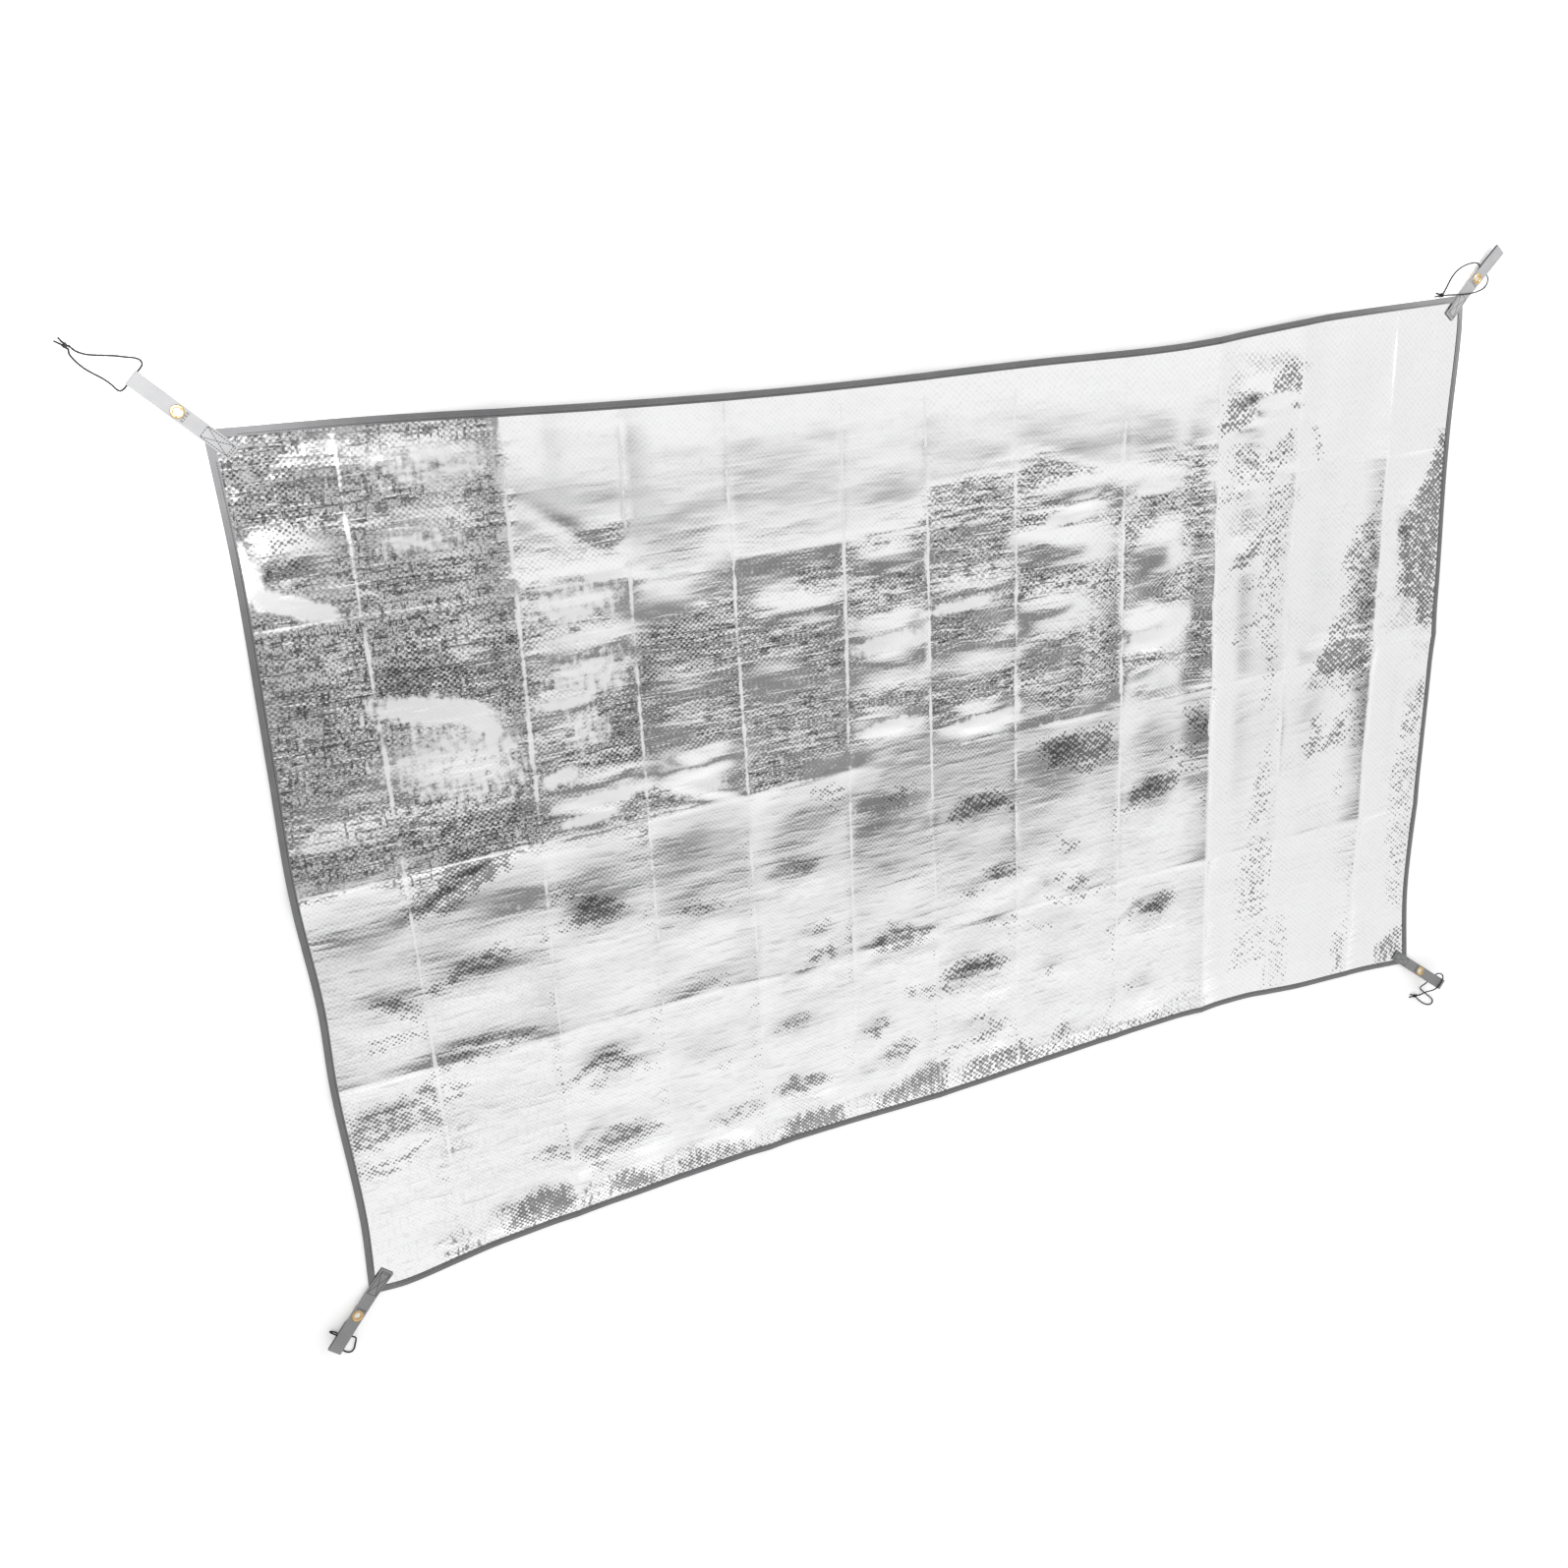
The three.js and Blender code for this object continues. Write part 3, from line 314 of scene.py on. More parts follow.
# Route of each cord, from its knot through the tunnel of its strap and back to the knot, in metres.
CORD_ROUTES = {
    "back_left": (
        (-1.1215, 0.7252, 0.0028), (-1.1165, 0.72, 0.0016), (-1.1085, 0.716, 0.0013),
        (-1.098, 0.7138, 0.0013), (-1.087, 0.7125, 0.0013), (-1.0765, 0.711, 0.0013),
        (-1.066, 0.7088, 0.0015), (-1.0575, 0.7072, 0.0022), (-1.0518, 0.7045, 0.0032),
        (-1.0502, 0.7003, 0.004), (-1.0523, 0.6965, 0.0044), (-1.0568, 0.6921, 0.0044),
        (-1.0639, 0.6851, 0.0044), (-1.0711, 0.6781, 0.0044), (-1.0752, 0.6742, 0.004),
        (-1.0795, 0.6726, 0.003), (-1.0832, 0.6752, 0.002), (-1.0865, 0.6798, 0.0014),
        (-1.095, 0.688, 0.0013), (-1.1055, 0.6955, 0.0013), (-1.1145, 0.7035, 0.0013),
        (-1.121, 0.712, 0.0014), (-1.1238, 0.718, 0.0019), (-1.1235, 0.7229, 0.0028),
    ),
    "back_right": (
        (0.9553, 0.6255, 0.0028), (0.96, 0.6305, 0.0017), (0.9655, 0.6385, 0.0013), (0.971, 0.647, 0.0013),
        (0.9775, 0.6545, 0.0013), (0.986, 0.661, 0.0013), (0.9955, 0.6655, 0.0015), (1.005, 0.6685, 0.003),
        (1.013, 0.6703, 0.006), (1.0198, 0.6689, 0.0084), (1.0258, 0.6636, 0.0089),
        (1.0332, 0.6569, 0.0089), (1.0407, 0.6502, 0.0089), (1.0456, 0.6456, 0.0082), (1.0493, 0.64, 0.006),
        (1.0503, 0.6338, 0.0038), (1.0475, 0.6285, 0.0023), (1.041, 0.6253, 0.0018),
        (1.032, 0.6236, 0.0033), (1.023, 0.6228, 0.0064), (1.014, 0.6223, 0.0092), (1.003, 0.6219, 0.0084),
        (0.9925, 0.6219, 0.008), (0.9835, 0.6221, 0.0058), (0.974, 0.6225, 0.0032), (0.9645, 0.6228, 0.002),
        (0.9556, 0.6226, 0.0028),
    ),
    "front_right": (
        (1.0336, -0.7009, 0.0028), (1.0365, -0.702, 0.002), (1.0415, -0.7035, 0.0015),
        (1.047, -0.703, 0.0019), (1.0505, -0.6995, 0.0048), (1.051, -0.6945, 0.0105),
        (1.0505, -0.689, 0.0185), (1.052, -0.6835, 0.026), (1.0556, -0.6783, 0.0302),
        (1.0611, -0.6737, 0.031), (1.0661, -0.6675, 0.031), (1.0697, -0.6614, 0.0306),
        (1.0706, -0.6564, 0.0292), (1.0682, -0.6525, 0.0263), (1.0632, -0.6518, 0.0232),
        (1.0589, -0.6541, 0.02205), (1.0498, -0.6596, 0.02095), (1.0408, -0.6653, 0.01995),
        (1.0365, -0.6685, 0.019), (1.0345, -0.6735, 0.015), (1.036, -0.68, 0.0095), (1.041, -0.687, 0.0045),
        (1.0475, -0.6935, 0.002), (1.059, -0.704, 0.0013), (1.068, -0.712, 0.0013),
        (1.076, -0.7195, 0.0013), (1.0805, -0.726, 0.0013), (1.079, -0.7315, 0.0013),
        (1.073, -0.733, 0.0013), (1.063, -0.7295, 0.0013), (1.052, -0.7225, 0.0013),
        (1.043, -0.7145, 0.0013), (1.0365, -0.708, 0.0016), (1.0326, -0.7039, 0.0027),
    ),
    "front_left": (
        (-1.052, -0.6696, 0.0029), (-1.0565, -0.665, 0.002), (-1.061, -0.661, 0.0026),
        (-1.0638, -0.6582, 0.0055), (-1.0632, -0.6572, 0.0095), (-1.0598, -0.659, 0.012),
        (-1.0554, -0.6628, 0.0125), (-1.0462, -0.6676, 0.0121), (-1.0369, -0.6725, 0.0117),
        (-1.0328, -0.676, 0.0106), (-1.0308, -0.6815, 0.0078), (-1.0313, -0.6885, 0.004),
        (-1.0333, -0.696, 0.0018), (-1.0355, -0.7025, 0.0013), (-1.0395, -0.7063, 0.0013),
        (-1.0448, -0.7058, 0.0013), (-1.0493, -0.702, 0.0013), (-1.0526, -0.6965, 0.0013),
        (-1.0542, -0.69, 0.0013), (-1.0535, -0.6835, 0.0014), (-1.0509, -0.6761, 0.0028),
    ),
}

# Strands of a knot about its middle, each ending in a free end, in millimetres.
KNOT_STRANDS = (
    (
        (-4.3, 1.4, -0.7), (-2.6, 2.0, 0.6), (-0.6, 1.0, 2.1), (0.9, -1.2, 1.9), (1.0, -2.2, -0.2),
        (-0.3, -1.2, -2.0), (-1.4, 0.8, -1.9), (-0.4, 2.2, -0.4), (1.8, 1.9, 0.5), (4.2, 1.5, -0.7),
        (7.5, 2.0, -1.9), (12.0, 2.6, -2.2),
    ),
    (
        (-4.3, -1.4, -0.7), (-2.7, -1.9, 0.7), (-1.4, -0.2, 1.9), (-0.9, 1.9, 1.0), (0.4, 2.1, -1.1),
        (1.7, 0.1, -1.9), (1.9, -1.9, -0.7), (2.6, -1.6, 0.6), (4.4, -1.5, -0.7), (7.0, -2.3, -1.9),
        (10.5, -3.2, -2.2),
    ),
)

# Camera of the photograph: place in metres, lens, and the view's right and up directions.
CAMERA_PLACE = (-1.1168, 0.7951, 1.942)
CAMERA_RIGHT = (0.90797, -0.06542, 0.41389)
CAMERA_UP = (0.19859, 0.93695, -0.28756)
CAMERA_LENS = 34.694
CAMERA_SENSOR = 36.0
CAMERA_REACH = 100.0

# Dim panels overhead that the foil mirrors, for each metre up: eastward and northward range, soft
# border, depth.
DIM_PANELS = (
    (-0.4, 0.815, -0.41, -0.23, 0.075, 1.0),
    (-0.4, 0.22, -0.15, -0.04, 0.06, 0.95),
    (-0.4, 0.92, -0.5, -0.27, 0.2, 0.34),
    (0.9, 1.6, -0.9, -0.05, 0.15, 0.1),
)
PANEL_DEPTH = 0.86

# Brighter bank of light to the front, for each metre up: how each side fades in, and how much it adds.
BANK_NORTH = ((-0.84, -0.94), (-2.0, -1.6))
BANK_EAST = ((-0.7, -0.4), (1.8, 1.4))
BANK_GAIN = 0.3

# Soft patches low in the room, out of the photograph's reflections: how they fade in from the middle,
# to the north and to the west, how they end towards the floor, their grain, contrast and levels.
ROOM_FROM_MIDDLE = (1.95, 2.35)
ROOM_NORTH = (0.42, 0.6)
ROOM_WEST = (-0.62, -0.8)
ROOM_END = (4.5, 3.7)
ROOM_GRAIN = (2.4, 2.4, 5.0)
ROOM_CONTRAST = (0.43, 0.57)
ROOM_LEVELS = (1.35, 0.36)

# Lamps over two corners: place and aim in metres, and power in watts.
CORNER_LAMPS = (
    ((-1.16, 0.82, 1.2), (-1.05, 0.67, 0.0), 108.0),
    ((1.16, 0.86, 1.2), (1.02, 0.65, 0.0), 62.0),
)
LAMP_CONE = math.radians(26)
LAMP_RADIUS = 0.12
FLOOR_HALF = 60.0
FLOOR_GLOW = 0.22


def lerp(a, b, t):
    return a + (b - a) * t


def smoothstep(value, low, high):
    t = min(max((value - low) / (high - low), 0.0), 1.0)
    return t * t * (3 - 2 * t)


def read_table(rows, at):
    """Smooth curve through a table's rows, read at one place."""
    last = len(rows) - 1
    k = 0
    while k < last - 1 and at > rows[k + 1][0]:
        k += 1

    def slope(i):
        a, b = rows[max(i - 1, 0)], rows[min(i + 1, last)]
        return (b[1] - a[1]) / (b[0] - a[0])

    span = rows[k + 1][0] - rows[k][0]
    f = min(max((at - rows[k][0]) / span, 0.0), 1.0)
    rise = f * f * (3 - 2 * f)
    start = span * slope(k) * f * (1 - f) ** 2
    end = span * slope(k + 1) * f * f * (f - 1)
    return lerp(rows[k][1], rows[k + 1][1], rise) + start + end


def edge_bottom(x):
    return -WIDTH / 2 + read_table(EDGES["bottom"], x + LENGTH / 2)


def edge_top(x):
    return WIDTH / 2 - read_table(EDGES["top"], x + LENGTH / 2)


def edge_left(y):
    return -LENGTH / 2 + read_table(EDGES["left"], y + WIDTH / 2)


def edge_right(y):
    return LENGTH / 2 - read_table(EDGES["right"], y + WIDTH / 2)


def fold_x(fold, y):
    return lerp(fold[0], fold[1], y / WIDTH + 0.5)


def long_fold_y(fold, x):
    return lerp(fold[0], fold[1], x / LENGTH + 0.5)


def line_x(k, y):
    """X of fold line k, the two short edges counted as the first and last line."""
    if k == 0:
        return edge_left(y)
    return edge_right(y) if k > len(FOLDS) else fold_x(FOLDS[k - 1], y)


def line_y(k, x):
    """Y of long fold line k, the two long edges counted as the first and last line."""
    if k == 0:
        return edge_bottom(x)
    return edge_top(x) if k > len(LONG_FOLDS) else long_fold_y(LONG_FOLDS[k - 1], x)


def between(line_at, place, other):
    k = math.floor(place)
    if place == k:
        return line_at(k, other)
    return lerp(line_at(k, other), line_at(k + 1, other), place - k)


def place_among(line_at, lines, value, other):
    """Place of a value among numbered lines, the reverse of between."""
    k = 0
    while k < lines and value > line_at(k + 1, other):
        k += 1
    low, high = line_at(k, other), line_at(k + 1, other)
    return k + min(max((value - low) / (high - low), 0.0), 1.0)


def fold_height(fold, share):
    low, middle, high = fold[2:5]
    return lerp(low, middle, 2 * share) if share < 0.5 else lerp(middle, high, 2 * share - 1)


def ridge(height, distance, reach):
    near = max(0.0, 1 - abs(distance) / reach)
    return height * near * near


def edge_distance(x, y):
    return min(x - edge_left(y), edge_right(y) - x, y - edge_bottom(x), edge_top(x) - y)


def corner_distance(x, y):
    return math.hypot(LENGTH / 2 - abs(x), WIDTH / 2 - abs(y))


def underside(x, y, column, row):
    """Height of the solid sheet's underside; column and row are places among the fold lines."""
    panel = min(math.floor(column), len(FOLDS))
    band = min(math.floor(row), len(LONG_FOLDS))
    fill = CROWN_AT_FOLD + (1 - CROWN_AT_FOLD) * math.sin(math.pi * (row - band))
    relief = CROWNS[band][panel] * math.sin(math.pi * (column - panel)) * fill
    for fold in FOLDS:
        relief += ridge(fold_height(fold, y / WIDTH + 0.5), x - fold_x(fold, y), FOLD_REACH)
    for fold in LONG_FOLDS:
        relief += ridge(fold_height(fold, x / LENGTH + 0.5), y - long_fold_y(fold, x), FOLD_REACH)
    rim = RIM * (1 - smoothstep(edge_distance(x, y), RIM_FLAT, RIM_SUNK))
    at_corner = smoothstep(corner_distance(x, y), CORNER_FLAT, CORNER_FULL)
    at_middle = smoothstep(math.hypot(x, y), MIDDLE_FLAT, MIDDLE_FULL)
    return rim + relief * at_corner * at_middle


def uneven(x, y, size_x, size_y, seed):
    """Uneven value between -1 and 1 that changes over the given sizes."""
    return noise.noise(Vector((x / size_x, y / size_y, seed)))


def strayed(x, y, size_x, size_y, seed, reach_x, reach_y):
    """Place moved unevenly by up to the given reach, the move changing over the given sizes."""
    stray = noise.noise_vector(Vector((x / size_x, y / size_y, seed)))
    return x + reach_x * stray.x, y + reach_y * stray.y


BACK_PUFF_LONGER = 1.35
FRONT_PUFF_LONGER = 1.45
FRONT_PUFF_WIDER = 1.5


def puff_height(x, y):
    """Height of the puffs, their outlines drawn out unevenly along the mat."""
    total = 0.0
    x, y = strayed(x, y, 44, 17, 2.2, 17, 8)
    for cx, cy, half_x, half_y, height in PUFFS:
        if cy > 0:
            a, b = (x - cx) / (BACK_PUFF_LONGER * half_x), (y - cy) / half_y
            if abs(a) < 1 and abs(b) < 1:
                total += height * (1 - a * a) * (1 - b * b) ** 2
        else:
            a, b = (x - cx) / (FRONT_PUFF_LONGER * half_x), (y - cy) / (FRONT_PUFF_WIDER * half_y)
            away = a * a + b * b
            if away < 1:
                flatter = 0.36 - 0.0006 * cy
                total += flatter * height * (1 - away) ** 2
    return total


CREASE_OVERRUN = 0.1


def short_crease_height(x, y):
    """Height of the short creases, which taper off just past both ends."""
    total = 0.0
    for x0, y0, x1, y1, height, half in SHORT_CREASES:
        dx, dy = x1 - x0, y1 - y0
        span = dx * dx + dy * dy
        t = ((x - x0) * dx + (y - y0) * dy) / span
        if -CREASE_OVERRUN < t < 1 + CREASE_OVERRUN:
            off = abs((x - x0) * dy - (y - y0) * dx) / math.sqrt(span)
            if off < half:
                taper = math.sin(math.pi * (t + CREASE_OVERRUN) / (1 + 2 * CREASE_OVERRUN))
                total += height * taper * (1 - off / half) ** 2
    return total


FULL_PUFF = 2.0


def rumple_at(x, y):
    """How rumpled the foil is at a place, from 0 to 1, with ragged borders drawn out along the mat."""
    patch = 0.7 + 0.6 * uneven(x, y, 90, 40, 3.3)
    puffed = min(puff_height(x, y) / FULL_PUFF, 1.0)
    drift = 50 * uneven(x, y, 110, 90, 5.1)
    x, y = strayed(x, y, 60, 14, 9.4, 40, 24)
    y += drift
    most = 0.32 - 0.2 * smoothstep(y, 380, 430)
    for left, right, low, high, lean, soft, strength in RUMPLED:
        inside = min(x - left - lean * (y - low), right - x, y - low, high - y)
        most = max(most, strength * smoothstep(inside, -soft / 2, soft / 2))
    most *= patch
    smoothed = 0.62 - 0.25 * smoothstep(x, -600, -680)
    return most * (1 - smoothed * puffed) if y > 0 else max(most, 0.4 * puffed)


def depth_inside(x, y, outline):
    """How far a place lies inside an outline, negative outside it."""
    inside = False
    nearest = math.inf
    x0, y0 = outline[-2:]
    for x1, y1 in zip(outline[::2], outline[1::2]):
        dx, dy = x1 - x0, y1 - y0
        if (y0 > y) != (y1 > y) and x < x0 + dx * (y - y0) / dy:
            inside = not inside
        t = min(max(((x - x0) * dx + (y - y0) * dy) / (dx * dx + dy * dy), 0.0), 1.0)
        nearest = min(nearest, math.hypot(x - x0 - t * dx, y - y0 - t * dy))
        x0, y0 = x1, y1
    return nearest if inside else -nearest


FOLD_SHADE_REACH = 42
RUMPLE_SHADE_END = 505
PATCH_OUTSIDE = 15
PATCH_INSIDE = 11


def painted_shade_at(x, y, rumple):
    """How much painted shade darkens the foil's base colour at a place, from 0 to 1, with ragged borders."""
    by_fold = 0.0
    for fold in FOLDS:
        off = fold_x(fold, y) - x
        if 0 < off < FOLD_SHADE_REACH:
            by_fold = 0.3 * (1 - off / FOLD_SHADE_REACH) * (1 - smoothstep(y, -60, 0))
    most = by_fold * (0.7 + uneven(x, y, 30, 60, 8.2))
    if y > 0 and x < RUMPLE_SHADE_END:
        most = 0.36 * smoothstep(rumple, 0.4, 0.75) * smoothstep(x, 60, 160)
    x, y = strayed(x, y, 26, 15, 7.7, 8, 5)
    for strength, *outline in PAINTED_SHADE_OUTLINES:
        across, along = outline[::2], outline[1::2]
        near_x = min(across) - PATCH_OUTSIDE < x < max(across) + PATCH_OUTSIDE
        if near_x and min(along) - PATCH_OUTSIDE < y < max(along) + PATCH_OUTSIDE:
            depth = depth_inside(x, y, outline)
            most = max(most, strength * smoothstep(depth, -PATCH_OUTSIDE, PATCH_INSIDE))
    return most


GLINT_END = 1.8
GLINT_FULL = 0.3


def painted_highlight_at(x, y):
    """How strong the painted highlight is at a place, from 0 to 1."""
    most = 0.0
    for cx, cy, half_x, half_y, turn, strength in PAINTED_HIGHLIGHTS:
        dx, dy = x - cx, y - cy
        if abs(dx) < 2 * half_x and abs(dy) < 2 * half_x:
            c, s = math.cos(math.radians(turn)), math.sin(math.radians(turn))
            away = math.hypot((c * dx + s * dy) / half_x, (c * dy - s * dx) / half_y)
            most = max(most, strength * smoothstep(away, GLINT_END, GLINT_FULL))
    return most


def crinkle_height(x, y):
    """Uneven wrinkles, longer along the mat than across it, calmer towards the right edge."""
    calm = 1 - 0.6 * smoothstep(x, 430, 540)
    sway = uneven(x, y, 150, 105, 6.6)
    broad = uneven(x, y, 78, 34, 1.7)
    fine = uneven(x, y, 36, 13, 4.3)
    return calm * (1.7 * sway + 0.7 * broad + 0.25 * fine)


def crisp_lines(x, y):
    """Sharp lines left by the packing folds, coming and going along their length."""
    total = 0.0
    for fold in FOLDS:
        near = max(0.0, 1 - abs(x - fold_x(fold, y)) / CRISP_REACH)
        if near:
            total += fold[5] * near * (0.6 + 1.1 * uneven(fold[0], y, 1, 70, 0.4))
    for fold in LONG_FOLDS:
        near = max(0.0, 1 - abs(y - long_fold_y(fold, x)) / CRISP_REACH)
        if near:
            total += fold[5] * near * (0.5 + 1.4 * uneven(x, fold[0], 70, 1, 0.4))
    return total


DETAIL_FROM_EDGE = (12, 40)
DETAIL_FROM_CORNER = (70, 130)
FLOOR_CLEARANCE = 0.05


def sheet_face(x, y, column, row, rumple):
    """Height of the foil face with its puffs, creases and crinkles."""
    detail = puff_height(x, y) + short_crease_height(x, y) + crisp_lines(x, y)
    detail += (0.5 + 0.5 * rumple) * crinkle_height(x, y)
    fade = smoothstep(edge_distance(x, y), *DETAIL_FROM_EDGE)
    fade *= smoothstep(corner_distance(x, y), *DETAIL_FROM_CORNER)
    return max(underside(x, y, column, row) + detail * fade, FLOOR_CLEARANCE) + SHEET


def edge_level(x, y):
    """Height of the sheet's underside at a place on its outline."""
    column = place_among(line_x, len(FOLDS), x, y)
    row = place_among(line_y, len(LONG_FOLDS), y, x)
    return underside(x, y, column, row)


def new_object(name, data, material):
    piece = bpy.data.objects.new(name, data)
    bpy.context.scene.collection.objects.link(piece)
    data.materials.append(material)
    return piece


def cloth_grid(name, columns, rows, place, keep=None, measures=()):
    """Mesh grid whose points are placed by place(u, v), with its UV map in metres along the cloth.

    Each spot is the UV place and one value for each name in measures, for the material to read.
    """
    shape = bmesh.new()
    bmesh.ops.create_grid(shape, x_segments=columns, y_segments=rows, size=0.5)
    for measure in measures:
        shape.verts.layers.float.new(measure)
    layer = shape.loops.layers.uv.new("UVMap")
    kept = [shape.verts.layers.float[measure] for measure in measures]
    spots = {}
    for vert in shape.verts:
        vert.co, spots[vert] = place(vert.co.x + 0.5, vert.co.y + 0.5)
        for values, value in zip(kept, spots[vert][2:]):
            vert[values] = value
    if keep:
        cut = [face for face in shape.faces if not keep(face, spots)]
        bmesh.ops.delete(shape, geom=cut, context="FACES")
    for face in shape.faces:
        face.smooth = True
        for loop in face.loops:
            loop[layer].uv = spots[loop.vert][:2]
    mesh = bpy.data.meshes.new(name)
    shape.to_mesh(mesh)
    shape.free()
    return mesh


ROUNDED_OVER = math.radians(50)


def thicken(piece, thickness, offset, round_width=0.0):
    """Gives a sheet its thickness in millimetres, and rounds its cut edges where a width is given."""
    wall = piece.modifiers.new("Thickness", "SOLIDIFY")
    wall.thickness = thickness * MM
    wall.offset = offset
    if round_width:
        edge = piece.modifiers.new("Soft edges", "BEVEL")
        edge.width = round_width * MM
        edge.segments = 2
        edge.limit_method = "ANGLE"
        edge.angle_limit = ROUNDED_OVER
        edge.harden_normals = True


def settle(piece, slot, *nodes):
    """Lets a piece ride on the mat and hides the solids that it stands for; its slot is not used."""
    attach(piece, "root")
    if nodes:
        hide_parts(*nodes)
    return piece


class Nodes:
    """Short ways to add and join the nodes of one tree."""

    def __init__(self, tree):
        self.tree = tree

    def add(self, kind, **values):
        node = self.tree.nodes.new("ShaderNode" + kind)
        for key, value in values.items():
            setattr(node, key, value)
        return node

    def feed(self, socket, value):
        if isinstance(value, bpy.types.NodeSocket):
            self.tree.links.new(value, socket)
        else:
            socket.default_value = value

    def math(self, operation, a, b=0.0):
        node = self.add("Math", operation=operation)
        self.feed(node.inputs[0], a)
        self.feed(node.inputs[1], b)
        return node.outputs[0]

    def times(self, first, *others):
        for other in others:
            first = self.math("MULTIPLY", first, other)
        return first

    def plus(self, first, *others):
        for other in others:
            first = self.math("ADD", first, other)
        return first

    def most(self, first, *others):
        for other in others:
            first = self.math("MAXIMUM", first, other)
        return first

    def split(self, vector):
        node = self.add("SeparateXYZ")
        self.feed(node.inputs[0], vector)
        return node.outputs

    def measure(self, name):
        return self.add("Attribute", attribute_name=name).outputs["Fac"]

    def span(self, value, low, high, to_low=0.0, to_high=1.0):
        """Smooth step of a value from low to high."""
        node = self.add("MapRange", interpolation_type="SMOOTHSTEP")
        for socket, item in zip(node.inputs, (value, low, high, to_low, to_high)):
            self.feed(socket, item)
        return node.outputs[0]

    def noise(self, vector, scale, stretch=(1, 1, 1), detail=3.0):
        mapping = self.add("Mapping")
        self.feed(mapping.inputs["Vector"], vector)
        mapping.inputs["Scale"].default_value = stretch
        node = self.add("TexNoise")
        self.feed(node.inputs["Vector"], mapping.outputs[0])
        node.inputs["Scale"].default_value = scale
        node.inputs["Detail"].default_value = detail
        return node.outputs["Fac"]

    def wave(self, value, pitch):
        """Sine of a place in metres, one turn each pitch in millimetres."""
        return self.math("SINE", self.times(value, 2 * math.pi / (pitch * MM)))

    def checks(self, x, y, pitches):
        """Weave of two crossing waves, their pitches in millimetres."""
        return self.times(self.wave(x, pitches[0]), self.wave(y, pitches[1]))

    def blend(self, fac, a, b):
        node = self.add("Mix", data_type="FLOAT")
        for socket, item in zip(node.inputs[:1] + node.inputs[2:4], (fac, a, b)):
            self.feed(socket, item)
        return node.outputs[0]

    def tone(self, fac, dark, light):
        """Colour between two, the first of them a colour or a socket."""
        node = self.add("Mix", data_type="RGBA")
        self.feed(node.inputs["Factor"], fac)
        self.feed(node.inputs["A"], dark if isinstance(dark, bpy.types.NodeSocket) else (*dark, 1))
        node.inputs["B"].default_value = (*light, 1)
        return node.outputs["Result"]


def new_material(name):
    material = bpy.data.materials.new(name)
    material.use_nodes = True
    nodes = Nodes(material.node_tree)
    shader = material.node_tree.nodes["Principled BSDF"]
    return material, nodes, shader


def raise_surface(nodes, shader, height):
    """Bump from a height in metres."""
    bump = nodes.add("Bump")
    bump.inputs["Strength"].default_value = 1.0
    bump.inputs["Distance"].default_value = 1.0
    nodes.feed(bump.inputs["Height"], height)
    nodes.feed(shader.inputs["Normal"], bump.outputs["Normal"])


def shade(colour, factor):
    return tuple(channel * factor for channel in colour)


# Zones of the foil, in metres: where each starts to show and where it is full.
RIGHT_HALF = (-0.045, -0.03)
LEFT_COLUMN = (-0.6, -0.7)
LEFT_OF_SMOOTH_PANELS = (0.5, 0.47)
BELOW_BACK_STRIP = (0.42, 0.36)
FRONT_HALF = (0.0, -0.05)
FRONT_STRIP = (-0.51, -0.54)

# Weave and wrinkles: pitches and rises in millimetres, and turns of each noise a metre along and across.
WEAVE_PITCHES = (8.0, 7.2)
COARSE_PITCHES = (10.6, 9.6)
COARSE_WARP = 0.012
WEAVE_RISE = 0.07
RIPPLE_RISE = 1.05
STREAK_RISE = 0.24
RIPPLES = (15, 80, 1)
STRANDS = (20, 115, 1)
# The speckles and strokes below break up the painted shade and the painted highlights.
SPECKLES = (60, 125, 1)
UPRIGHT_SPECKLES = (125, 38, 1)
FINE_STROKES = (44, 215, 1)
COMB_STROKES = (190, 60, 1)
RUMPLED_FROM = (0.2, 0.7)
# Darkest painted shade, then the colour of the painted highlights and the roughness that goes with them.
DARKEST_PAINTED_SHADE = 0.3
GLINT_COLOUR = (0.97, 0.97, 0.97)
GLINT_ROUGHNESS = 0.42
FOIL_ROUGHNESS = (0.12, 0.16)
# The sheet's values for its material: how rumpled it is, its painted shade, and its painted highlight with
# rougher foil.
SHEET_MEASURES = ("rumple", "turned", "lit")


